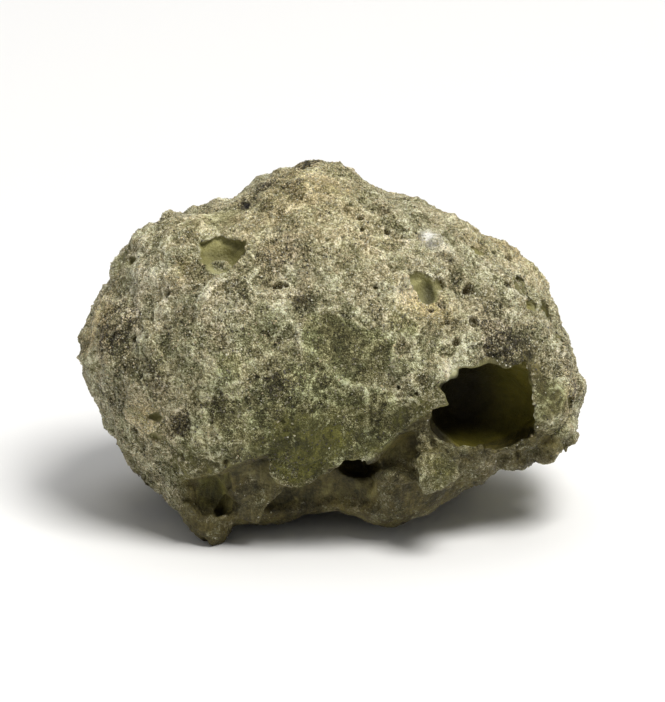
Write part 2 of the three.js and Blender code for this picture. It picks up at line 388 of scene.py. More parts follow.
@dataclass(frozen=True)
class Prism:
    """An outline in the front view drawn through the lump: a window where it is cut, a plate where added.

    Attributes:
        outline: Corners (x, z) in order, seen whole from their mean.
        near: y of the near face at that mean.
        far: y of the far face.
        slope: How much both faces rise in y for each millimetre in x and in z.
        ragged: Height of the noise on its sides, in millimetres.
    """

    outline: tuple[tuple[float, float], ...]
    near: float
    far: float
    slope: tuple[float, float] = (0.0, 0.0)
    ragged: float = 0.12

    def surface(self, pitch: float, seed: int) -> Surface:
        """Close the outline into a solid: rings from the near middle to its edge, back, and inwards.

        Args:
            pitch: Distance between neighbouring points, in millimetres.
            seed: Picks the noise.

        Returns:
            The closed surface.
        """
        corners = np.array(self.outline)
        corners = np.concatenate([corners, corners[:1]])
        length = np.concatenate([[0], np.cumsum(np.linalg.norm(np.diff(corners, axis=0), axis=1))])
        count = int(length[-1] / pitch)
        along = np.arange(count) * length[-1] / count
        edge = np.stack([np.interp(along, length, corners[:, k]) for k in range(2)], axis=-1)
        middle = edge.mean(axis=0)
        cap = np.linspace(0, 1, max(3, int(np.linalg.norm(edge - middle, axis=1).max() / pitch)) + 1)[1:]
        side = np.linspace(0, 1, max(2, int(abs(self.far - self.near) / pitch)) + 1)[1:]
        reach = np.concatenate([cap, np.ones(len(side)), cap[::-1][1:]])
        depth = np.concatenate([np.zeros(len(cap)), side, np.ones(len(cap) - 1)])
        flat = middle + reach[:, None, None] * (edge - middle)
        y = self.near + depth[:, None] * (self.far - self.near) + (flat - middle) @ self.slope
        rings = np.stack([flat[..., 0], y, flat[..., 1]], axis=-1).reshape(-1, 3)
        poles = [(middle[0], self.near, middle[1]), (middle[0], self.far, middle[1])]
        points = np.concatenate([rings, poles])
        grid = np.arange(len(rings)).reshape(-1, count)
        a, b = grid[:-1], grid[1:]
        c, d = np.roll(b, -1, axis=1), np.roll(a, -1, axis=1)
        start, end = grid[0], grid[-1]
        faces = np.concatenate([
            np.stack([a, b, c], axis=-1).reshape(-1, 3),
            np.stack([a, c, d], axis=-1).reshape(-1, 3),
            np.stack([np.roll(start, -1), np.full(count, len(rings)), start], axis=-1),
            np.stack([end, np.full(count, len(rings) + 1), np.roll(end, -1)], axis=-1),
        ])
        a, b, c = (points[faces[:, k]] for k in range(3))
        if np.einsum("ij,ij->", a, np.cross(b, c)) < 0:
            faces = faces[:, ::-1]
        push = np.stack([rough(points, 1.3, 3, seed + 10 * axis, 0.7) for axis in range(3)], axis=-1)
        return Surface(points + self.ragged * push, faces)


@dataclass(frozen=True)
class Pit:
    """A small bubble burst through the crust at x, z on the front (-1) or back (1) of the dome."""

    x: float
    z: float
    side: int
    half: Vec3
    sink: float


@dataclass(frozen=True)
class Dome:
    """The lump's outside: how far it reaches in every direction from the middle."""

    front_reach: tuple[float, ...] = (
        18.9, 17.3, 15.6, 14.3, 14.0, 13.9, 14.8, 14.9, 14.2, 15.7, 18.2, 18.2,
        19.8, 18.7, 18.1, 16.9, 15.4, 13.8, 12.6, 13.2, 13.0, 14.6, 15.8, 20.2,
    )
    front_depth: float = 12.6
    back_depth: float = 13.2
    squareness: float = 2.3
    lump_height: float = 0.55
    lump_pitch: float = 0.36
    lump_octaves: int = 5
    lump_finer: float = 1.6
    lump_lower: float = 0.7
    swellings: dict[str, Swelling] = field(default_factory=lambda: {
        "front_drip": Swelling((-9.6, -4.0, -12.6), 4.4, 1.9),
        "middle_drip": Swelling((5.8, -3.8, -12.0), 6.0, 2.0),
        "left_rear_drip": Swelling((-9.2, 11.0, -9.6), 5.0, 1.5),
        "right_rear_drip": Swelling((8.8, 10.4, -9.6), 5.5, 2.75),
        "bubble_rim": Swelling((14.4, -5.0, -8.2), 6.5, 1.2),
        "belly_dent": Swelling((-0.5, 5.0, -11.5), 14.0, -0.9),
        "sandy_knob": Swelling((8.6, -8.2, -9.8), 3.0, 1.3),
    })

    def front_view(self, angles: np.ndarray) -> np.ndarray:
        """Reach of the front outline: a Catmull-Rom curve through front_reach, evenly spaced in angle.

        Args:
            angles: Angles in radians from +X towards +Z.

        Returns:
            The reach at each angle, in millimetres.
        """
        reach = np.array(self.front_reach)
        place = np.mod(angles, 2 * math.pi) / (2 * math.pi) * len(reach)
        step = np.floor(place).astype(int)
        t = place - step
        a, b, c, d = (reach[(step + k) % len(reach)] for k in (-1, 0, 1, 2))
        return b + 0.5 * t * (c - a + t * (2 * a - 5 * b + 4 * c - d + t * (3 * (b - c) + d - a)))

    def plain_reach(self, directions: np.ndarray) -> np.ndarray:
        """Reach of the bare dome: (across^n + depth^n)^(-1/n), n being the squareness.

        Args:
            directions: Unit directions, shape (n, 3).

        Returns:
            The reach in each direction, in millimetres.
        """
        x, y, z = directions.T
        across = np.hypot(x, z) / self.front_view(np.arctan2(z, x))
        depth = np.abs(y) / np.where(y < 0, self.front_depth, self.back_depth)
        return (across ** self.squareness + depth ** self.squareness) ** (-1 / self.squareness)

    def lumps(self, points: np.ndarray) -> np.ndarray:
        """Rolling lumps: octaves of three sine waves, each crossing the lump in its own direction.

        Args:
            points: Positions in millimetres.

        Returns:
            The lumps' height at each, in millimetres.
        """
        height = np.zeros(len(points))
        for wave in range(3 * self.lump_octaves):
            octave = wave // 3
            heading = (math.cos(2.4 * wave), math.sin(2.4 * wave), math.cos(1.3 * wave + 0.6))
            pitch = self.lump_pitch * self.lump_finer ** octave
            height += self.lump_lower ** octave * np.sin(pitch * (points @ heading) + 1.7 * wave) / 3
        return self.lump_height * height

    def reach(self, directions: np.ndarray) -> np.ndarray:
        """Reach of the outside: the bare dome, plus its lumps, plus each swelling.

        A swelling rises by its height times 2^-(d^2.6), d being the distance from its top over half
        its width.

        Args:
            directions: Unit directions, shape (n, 3).

        Returns:
            The reach in each direction, in millimetres.
        """
        plain = self.plain_reach(directions)
        points = directions * plain[:, None]
        height = self.lumps(points)
        for swelling in self.swellings.values():
            axis = np.array([swelling.towards]) / np.linalg.norm(swelling.towards)
            top = axis * self.plain_reach(axis)
            away = np.linalg.norm(points - top, axis=-1) / (0.5 * swelling.width)
            height = height + swelling.height * 2.0 ** -(away ** 2.6)
        return plain + height

    def depth_below(self, points: np.ndarray) -> np.ndarray:
        """How far each point lies below the outside, along its own direction, in millimetres."""
        distance = np.linalg.norm(points, axis=-1)
        return self.reach(points / distance[:, None]) - distance

    def pit_bubble(self, pit: Pit) -> Bubble:
        """The bubble of a pit, with its centre sunk under the bare dome at the pit's x and z.

        The dome there is at y = depth (1 - across^n)^(1/n), n being the squareness.

        Args:
            pit: The pit.

        Returns:
            Its bubble.
        """
        across = math.hypot(pit.x, pit.z) / self.front_view(np.array([math.atan2(pit.z, pit.x)]))[0]
        depth = self.front_depth if pit.side < 0 else self.back_depth
        y = pit.side * depth * max(1 - across ** self.squareness, 0) ** (1 / self.squareness)
        return Bubble((pit.x, y - pit.side * pit.sink, pit.z), pit.half, ragged=0.12)


# ----------------------------------------
# The glass lump
# ----------------------------------------


class Tint(Enum):
    """What a patch of the skin is like, named as the number that is noted on the mesh."""

    TAN = "tan"
    SOOT = "soot"
    GREEN = "green"
    PALE = "pale"
    MOSS = "moss"
    BARE = "bare"
    GLAZE = "glaze"
    CRUST = "crust"
    CHALK = "chalk"
    CHAR = "char"


@dataclass(frozen=True)
class Patch:
    """A soft patch about x, z on the front (-1) or back (1), standing ahead of the dome by so much."""

    x: float
    z: float
    size: float
    strength: float
    side: int = -1
    ahead: float = 0.0


def patches_at(*rows: tuple[float, ...]) -> tuple[Patch, ...]:
    """Patches from rows of x, z, size and strength, and their side and how far ahead where it matters."""
    return tuple(Patch(*row) for row in rows)


@dataclass(frozen=True)
class Pore:
    """A pinhole through the skin at x, z on the front (-1) or back (1) of the dome."""

    x: float
    z: float
    radius: float
    side: int = -1


def gap_to_side(flat: np.ndarray, start: np.ndarray, end: np.ndarray) -> np.ndarray:
    """Distance from each place x, z to the straight side between two corners.

    Args:
        flat: Places x, z, shape (n, 2).
        start: One corner.
        end: The other.

    Returns:
        The distances in millimetres, shape (n,).
    """
    run = end - start
    share = np.clip((flat - start) @ run / (run @ run), 0, 1)
    return np.linalg.norm(flat - start - share[:, None] * run, axis=-1)


@dataclass(frozen=True)
class Seam:
    """A pale weld line between two tongues of glass, along corners (x, z) on the front of the dome."""

    line: tuple[tuple[float, float], ...]
    strength: float = 1.0


@dataclass(frozen=True)
class Sheet:
    """A tongue of smoother glass with a crisp edge, by its corners (x, z) on the front of the dome."""

    tint: Tint
    strength: float
    line: tuple[tuple[float, float], ...]

    def depth(self, flat: np.ndarray) -> np.ndarray:
        """How far inside the edge each place x, z is, in millimetres, and negative outside it.

        The distance is the least to any side, and a place is inside where a line from it towards +x
        crosses an odd number of sides.

        Args:
            flat: Places x, z, shape (n, 2).

        Returns:
            The distances, shape (n,).
        """
        corners = np.array(self.line)
        away, inside = np.full(len(flat), FAR_OFF), np.zeros(len(flat), dtype=bool)
        for start, end in zip(corners, np.roll(corners, -1, axis=0)):
            run = end - start
            away = np.minimum(away, gap_to_side(flat, start, end))
            level = (start[1] > flat[:, 1]) != (end[1] > flat[:, 1])
            crossing = start[0] + run[0] * (flat[:, 1] - start[1]) / (run[1] if run[1] else 1e-9)
            inside ^= level & (flat[:, 0] < crossing)
        return np.where(inside, away, -away)


@dataclass(frozen=True)
class Relief:
    """Heights in millimetres of what stands out of the carved lump.

    Attributes:
        rolling: Rolling noise on the skin.
        cobbles: Rounded lumps there, a few to a plate.
        pebbles: Rounded lumps there, a few grains wide.
        set_in: How far all of these are set in.
        rim: Noise under the lip at the right, below the great bubble.
        plates: Steps between plates of glass.
        blocks: Steps between cobbles.
        seams: Pale lines.
        lace: Threads between cobbles.
        ends: More noise at both ends of the lump.
        walls: Noise on the walls of bubbles and breaks.
        wall_pebbles: Rounded lumps there.
    """

    rolling: float = 0.3
    cobbles: float = 0.27
    pebbles: float = 0.13
    set_in: float = 0.07
    rim: float = 0.3
    plates: float = 0.2
    blocks: float = 0.1
    seams: float = 0.12
    lace: float = 0.07
    ends: float = 0.13
    walls: float = 0.13
    wall_pebbles: float = 0.04


class Act(Enum):
    """Whether a shape is cut out of the lump or added to it, named as Blender's Boolean names it."""

    CUT = "DIFFERENCE"
    ADD = "UNION"


@dataclass
class GlassLump:
    """The lump itself: the dome with its bubbles, breaks and pits cut, and its skin roughened.

    Attributes:
        dome: The outside.
        stance: How it stands.
        lip: Lower edge of the crust along the front, as corners (x, z).
        lip_step: How far the glass under the lip stands back from it.
        lip_fade: How far below the lip it stands back by half as much.
        steps: Shapes to cut or add, in order.
        pits: Small bubbles burst through the crust, cut last.
        pores: Pinholes.
        seams: Weld lines.
        seam_width: Distance from a weld line at which it is half as strong.
        sheets: Tongues of smoother glass.
        patches: Where the skin has each tint. Crust is skin that lies below the outside, and glaze is
            skin melted smooth.
        small_patch: Size up to which a patch keeps its place.
        middling_patch: Size up to which a patch is pushed about only a little.
        relief: Heights of what stands out of the skin.
        dome_squares: Squares along each edge of the dome's block ball.
        step_squares: The same for a bubble or break.
        pit_squares: The same for a pit.
        prism_pitch: Distance between neighbouring points of a prism.
        voxel: Size of the even facets that the carved lump is remade with.
        triangles: How many triangles the finished lump has.
    """

    dome: Dome = field(default_factory=Dome)
    stance: Stance = field(default_factory=Stance)
    lip: tuple[tuple[float, float], ...] = (
        (-14.0, -9.4), (-11.9, -9.8), (-9.1, -9.25), (-6.7, -8.4), (-4.9, -7.95), (-4.5, -9.9), (-3.6, -10.3),
        (-2.5, -10.5), (-1.7, -10.1), (-0.9, -9.5), (0.5, -8.7), (2.0, -8.6), (3.2, -8.2), (4.4, -7.3),
        (5.0, -6.3), (6.5, -5.2), (7.9, -4.5), (8.2, -6.8), (11.0, -7.4), (13.7, -6.5), (15.6, -5.6),
        (17.2, -6.4), (20.5, -6.8),
    )
    lip_step: float = 0.75
    lip_fade: float = 2.4
    steps: dict[str, tuple[Act, Union[Bubble, Prism]]] = field(default_factory=lambda: {
        "arch": (Act.CUT, Bubble((-1.4, -8.5, -11.6), (6.0, 4.5, 3.1), 4)),
        "under_plate": (Act.CUT, Prism(
            ((-7.0, -8.9), (-5.7, -8.3), (-4.8, -8.2), (-1.0, -8.8), (0.5, -8.7), (2.0, -8.7), (3.2, -8.3),
             (3.5, -9.6), (2.9, -12.0), (2.0, -17.0), (-7.0, -17.0), (-7.6, -12.6), (-7.7, -10.2)),
            -16.0, -5.6, ragged=0.1)),
        "vesicle": (Act.CUT, Bubble((-9.6, -7.0, -11.3), (1.4, 2.0, 1.6), 24)),
        "left_notch": (Act.CUT, Prism(
            ((-17.0, -10.5), (-14.8, -10.6), (-13.2, -10.75), (-12.95, -11.2), (-12.8, -11.8), (-12.2, -12.5),
             (-11.4, -13.2), (-11.2, -16.5), (-17.0, -16.5)), -16.0, 5.0, ragged=0.25)),
        "left_undercut": (Act.CUT, Prism(
            ((-11.6, -10.1), (-9.1, -9.6), (-6.8, -8.7), (-6.6, -10.0), (-8.0, -10.7), (-9.6, -10.9),
             (-11.2, -10.6)), -16.0, -6.6, (-0.35, 0.0))),
        "right_recess": (Act.CUT, Bubble((5.3, -9.2, -8.0), (2.5, 2.2, 1.35), -42, 0.4)),
        "mouth": (Act.CUT, Bubble((2.1, -7.2, -8.95), (1.85, 4.0, 1.0))),
        "great_bubble": (Act.CUT, Bubble((12.1, -5.7, -4.0), (4.6, 4.6, 3.65), 8, 0.1)),
        "bubble_mouth": (Act.CUT, Prism(
            ((7.5, -5.3), (7.8, -4.5), (9.1, -4.1), (8.7, -3.3), (8.3, -2.7), (9.2, -2.1), (9.4, -1.1),
             (10.4, -1.1), (11.2, -1.2), (12.2, -0.7), (13.0, -0.9), (13.7, -1.3), (15.1, -0.4), (15.4, -1.5),
             (15.7, -2.9), (15.8, -4.2), (15.7, -5.4), (14.5, -6.3), (13.3, -6.8), (11.8, -7.3), (10.6, -7.3),
             (9.7, -7.6), (8.7, -7.1), (7.6, -6.2)), -16.0, -6.2, ragged=0.1)),
        "back_bubble": (Act.CUT, Bubble((-5.6, 12.6, 0.6), (3.0, 2.6, 2.5), 20)),
        "under_left": (Act.CUT, Bubble((-4.0, 4.4, -12.9), (4.4, 4.2, 2.4))),
        "under_right": (Act.CUT, Bubble((2.2, 1.0, -12.7), (2.9, 2.4, 1.8))),
        "under_side": (Act.CUT, Bubble((-13.2, 0.6, -9.6), (2.2, 2.0, 1.7))),
        "chunk_undercut": (Act.CUT, Bubble((8.3, -8.3, -11.15), (2.2, 1.6, 0.7), -8)),
        "lobe_crease": (Act.CUT, Bubble((4.6, -7.9, -11.1), (1.5, 1.1, 0.9), -30, 0.2)),
        "rim_bevel": (Act.CUT, Bubble((12.0, -8.7, -6.95), (3.4, 1.5, 0.75), 2, 0.1)),
        "wedge": (Act.ADD, Prism(
            ((-7.9, -9.0), (-6.4, -8.3), (-4.9, -8.2), (-4.4, -9.8), (-3.8, -10.7), (-5.0, -11.8),
             (-5.8, -13.3), (-6.8, -13.2), (-7.4, -12.2), (-7.8, -10.6)), -7.4, -3.0, (0.12, -0.36))),
        "front_tip": (Act.ADD, Bubble((-9.35, -4.0, -13.4), (1.7, 1.9, 2.1), 0, 0.3)),
        "corner": (Act.ADD, Bubble((16.9, -3.2, -6.75), (1.95, 2.6, 1.85), 0, 0.3)),
        "corner_under": (Act.ADD, Bubble((14.2, -3.2, -8.3), (1.5, 2.4, 0.9), 0, 0.3)),
        "corner_side": (Act.ADD, Bubble((17.75, -2.8, -6.1), (1.3, 2.2, 1.9), 0, 0.3)),
        "right_knob": (Act.ADD, Bubble((18.6, -2.2, -2.9), (1.05, 1.7, 1.2), 20, 0.35)),
        "left_knob": (Act.ADD, Bubble((-12.3, 0.5, 10.2), (0.9, 1.6, 0.8), -20, 0.4)),
        "hanging_plate": (Act.ADD, Prism(
            ((-5.0, -7.8), (-4.8, -9.2), (-4.5, -10.0), (-3.6, -10.5), (-2.5, -10.6), (-1.7, -10.2),
             (-0.9, -9.6), (0.7, -8.7), (0.7, -7.8)), -9.4, -8.0, (0.0, -0.6), 0.16)),
        "ledge": (Act.ADD, Prism(
            ((3.1, -9.5), (4.3, -9.1), (6.7, -9.3), (6.6, -10.0), (5.2, -10.4), (3.5, -10.2)),
            -8.3, -5.0, (0.0, 0.3), 0.25)),
        "rib": (Act.ADD, Bubble((7.3, -8.4, -6.8), (0.5, 1.6, 1.6), -20, 0.5)),
        "chunk": (Act.ADD, Prism(
            ((6.4, -8.4), (7.3, -7.9), (8.8, -8.0), (9.8, -8.9), (9.7, -9.9), (8.9, -10.5), (7.5, -10.8),
             (6.7, -10.3), (6.9, -9.4)), -10.3, -5.6, (0.1, -0.2), 0.35)),
        "drip_ridge": (Act.ADD, Bubble((-10.9, -5.2, -12.25), (1.1, 1.6, 0.4), 32, 0.3)),
        "slit": (Act.CUT, Prism(
            ((-8.3, -11.0), (-7.7, -11.5), (-7.1, -12.0), (-8.0, -12.6), (-9.0, -12.9), (-9.25, -12.5),
             (-8.8, -11.8)), -16.0, -4.9, (-1.3, 0.0), 0.06)),
        "pale_block": (Act.ADD, Bubble((5.1, -11.35, 4.5), (1.3, 0.8, 1.15), 25, 0.8)),
        "rim_grain": (Act.ADD, Bubble((9.4, -10.4, -1.5), (0.5, 0.9, 0.55), 25, 0.5)),
        "lip_tip": (Act.ADD, Bubble((3.0, -9.6, -8.0), (0.75, 0.7, 0.5), -10, 0.6)),
    })
    pits: dict[str, tuple[Act, Union[Pit, Prism]]] = field(default_factory=lambda: {
        "triangle": (Act.CUT, Prism(
            ((-10.4, 8.5), (-9.5, 8.9), (-8.6, 9.1), (-7.6, 8.7), (-6.5, 8.5), (-6.8, 7.8), (-7.2, 7.1),
             (-7.7, 6.5), (-8.4, 6.1), (-9.2, 6.0), (-9.7, 6.5), (-9.8, 7.3), (-10.1, 8.0)),
            -16.0, -8.1, (-0.05, 0.4), 0.1)),
        "triangle_floor": (Act.CUT, Pit(-8.5, 7.7, -1, (1.8, 1.4, 1.4), 0.5)),
        "round": (Act.CUT, Pit(7.4, 4.75, -1, (1.05, 1.3, 1.15), 0.5)),
        "round_top": (Act.CUT, Pit(6.7, 5.7, -1, (0.9, 0.9, 0.6), 0.2)),
        "right_end": (Act.CUT, Pit(18.6, -4.2, -1, (0.6, 1.4, 0.95), 0.1)),
        "left_hole": (Act.CUT, Pit(-13.8, -5.0, -1, (0.7, 0.8, 0.4), 0.1)),
        "left_hole_low": (Act.CUT, Pit(-14.0, -6.7, -1, (0.65, 0.8, 0.4), 0.1)),
        "right_groove": (Act.CUT, Pit(15.6, 6.0, -1, (0.5, 1.1, 1.3), 0.1)),
        "right_scoop": (Act.CUT, Pit(16.7, 3.0, -1, (0.55, 1.0, 1.1), 0.1)),
        "top_scoop": (Act.CUT, Pit(11.6, 8.0, -1, (0.9, 0.7, 0.45), 0.1)),
        "right_dimple": (Act.CUT, Pit(17.9, 0.6, -1, (0.6, 0.8, 0.9), 0.0)),
        "right_dish": (Act.CUT, Pit(14.9, 7.6, -1, (0.9, 0.6, 0.5), -0.1)),
        "left_oval": (Act.CUT, Pit(-15.8, 7.1, -1, (0.7, 0.7, 0.45), 0.0)),
        "back_right": (Act.CUT, Pit(14.6, 4.2, 1, (1.3, 1.2, 1.0), 0.2)),
        "back_high": (Act.CUT, Pit(6.4, 7.6, 1, (1.1, 1.1, 1.2), 0.3)),
        "back_middle": (Act.CUT, Pit(1.6, -3.4, 1, (1.5, 1.2, 1.1), 0.3)),
        "back_left": (Act.CUT, Pit(-12.6, -4.2, 1, (1.0, 1.0, 1.3), 0.2)),
        "back_low": (Act.CUT, Pit(9.8, -0.8, 1, (0.9, 0.9, 0.8), 0.2)),
        "back_end": (Act.CUT, Pit(-16.4, 5.0, 1, (0.9, 0.9, 0.7), 0.1)),
        "white_grain": (Act.ADD, Pit(7.8, 8.75, -1, (0.55, 0.5, 0.35), 0.0)),
        "edge_knob": (Act.ADD, Pit(9.2, 10.3, -1, (0.8, 0.7, 0.5), 0.15)),
        "grey_lump": (Act.ADD, Pit(3.7, 11.3, -1, (0.85, 0.8, 0.6), 0.25)),
        "dark_knob": (Act.ADD, Pit(-13.6, -2.3, -1, (0.85, 0.7, 0.75), 0.25)),
        "left_lump": (Act.ADD, Pit(-12.0, 2.4, -1, (0.8, 0.65, 0.75), 0.25)),
        "upper_lump": (Act.ADD, Pit(8.7, 7.7, -1, (0.8, 0.6, 0.6), 0.25)),
        "tan_dish": (Act.CUT, Pit(2.4, 12.1, -1, (0.6, 0.5, 0.45), 0.0)),
        "low_scoop": (Act.CUT, Pit(15.5, 3.6, -1, (0.7, 0.6, 0.5), 0.0)),
        "grey_hollow": (Act.CUT, Pit(3.7, 3.1, -1, (0.9, 0.35, 0.6), 0.0)),
        "triangle_stone": (Act.ADD, Pit(-8.7, 6.5, -1, (0.95, 0.7, 0.6), 1.3)),
    })
    pores: tuple[Pore, ...] = tuple(Pore(*row) for row in (
        (2.3, 10.5, 0.26), (2.4, 9.6, 0.2), (8.7, 3.7, 0.24), (3.4, 5.0, 0.16), (-3.6, 5.2, 0.2),
        (7.8, 3.2, 0.18), (10.6, 4.9, 0.34), (13.7, 5.2, 0.26), (14.8, 4.7, 0.34), (8.4, 5.3, 0.36),
        (-4.4, 5.2, 0.27), (-4.0, 5.2, 0.27), (15.7, 5.7, 0.3), (11.5, 8.0, 0.3), (-13.0, 4.5, 0.28),
        (9.7, 0.8, 0.26), (-11.5, -8.1, 0.22), (-11.6, -9.2, 0.2), (15.4, 3.8, 0.3), (12.3, 6.8, 0.3),
        (17.4, 1.6, 0.34), (17.9, 0.2, 0.28), (-6.6, 11.4, 0.22), (11.0, 2.3, 0.3), (4.4, 9.5, 0.26),
        (6.5, 10.6, 0.3), (-15.5, 1.2, 0.26), (5.2, -2.8, 0.15), (6.6, -3.3, 0.15), (13.0, 8.2, 0.24),
        (3.0, 6.0, 0.4, 1), (3.4, 5.4, 0.3, 1), (-9.0, 9.0, 0.42, 1), (-13.0, 1.5, 0.36, 1),
        (11.5, -5.4, 0.4, 1), (12.2, -4.8, 0.3, 1), (-2.6, -7.4, 0.42, 1), (-1.0, 11.0, 0.3, 1),
    ))
    seams: tuple[Seam, ...] = (
        Seam(((-2.7, 0.9), (-1.4, -0.3), (0.2, -1.7), (1.2, -2.5)), 1.1),
        Seam(((1.2, -2.5), (3.4, -2.7), (5.3, -3.1)), 0.8),
        Seam(((-8.0, -1.4), (-5.8, -0.7), (-4.0, 0.3), (-2.7, 0.9), (-1.8, 2.6), (0.0, 3.4)), 0.7),
        Seam(((2.6, -2.7), (2.7, -4.4), (2.8, -6.6)), 0.9),
        Seam(((-6.8, -1.4), (-7.0, -3.8), (-6.4, -6.2), (-6.6, -8.0)), 0.6),
        Seam(((6.2, 1.4), (6.8, -0.4), (6.2, -2.2), (7.6, -3.8)), 0.6),
        Seam(((0.0, 3.4), (2.4, 3.0), (3.8, 1.6), (6.2, 1.4)), 0.5),
    )
    seam_width: float = 0.24
    sheets: tuple[Sheet, ...] = (
        Sheet(Tint.GREEN, 0.9, (
            (-2.1, 3.1), (-0.8, 3.1), (1.2, 2.6), (2.3, 2.0), (4.2, 1.7), (4.9, 0.6), (4.7, -0.9),
            (4.2, -1.7), (2.5, -2.4), (0.7, -2.4), (-0.8, -1.5), (-2.3, -0.4), (-2.5, 0.9), (-2.2, 2.2))),
        Sheet(Tint.GREEN, 0.9, (
            (-6.9, -5.1), (-5.7, -4.4), (-4.4, -3.8), (-3.0, -3.4), (-1.6, -3.7), (-1.4, -5.3), (-2.3, -6.5),
            (-4.4, -7.2), (-6.0, -7.4), (-6.7, -6.4))),
        Sheet(Tint.GREEN, 0.7, (
            (4.5, 3.1), (6.0, 2.9), (6.8, 2.0), (6.4, 1.3), (5.1, 1.3), (4.2, 2.2))),
        Sheet(Tint.GREEN, 0.6, (
            (3.0, -2.8), (4.9, -3.0), (5.1, -4.3), (3.4, -5.2), (2.8, -4.3))),
        Sheet(Tint.GREEN, 0.7, (
            (-9.0, -3.7), (-6.9, -3.9), (-6.7, -6.9), (-8.3, -7.1), (-9.2, -5.8))),
        Sheet(Tint.GREEN, 0.7, (
            (-9.0, -0.2), (-7.1, -0.2), (-6.9, -2.1), (-8.0, -2.5), (-9.0, -1.6))),
        Sheet(Tint.SOOT, 0.7, (
            (-5.7, -1.8), (-4.4, -1.6), (-2.8, -2.1), (-3.0, -3.2), (-4.4, -3.2), (-5.5, -3.0))),
        Sheet(Tint.SOOT, 0.7, (
            (-12.4, -4.6), (-11.3, -4.4), (-10.6, -5.8), (-11.3, -6.9), (-12.4, -6.4), (-12.9, -5.5))),
        Sheet(Tint.SOOT, 0.1, (
            (-5.7, 9.0), (-4.4, 9.4), (-2.5, 8.8), (-2.8, 7.1), (-3.9, 5.8), (-5.5, 6.4), (-6.2, 7.8))),
        Sheet(Tint.SOOT, 0.1, (
            (-9.4, 4.8), (-8.0, 5.8), (-6.4, 5.8), (-6.3, 4.2), (-7.4, 3.2), (-9.0, 3.4), (-9.7, 4.2))),
    )
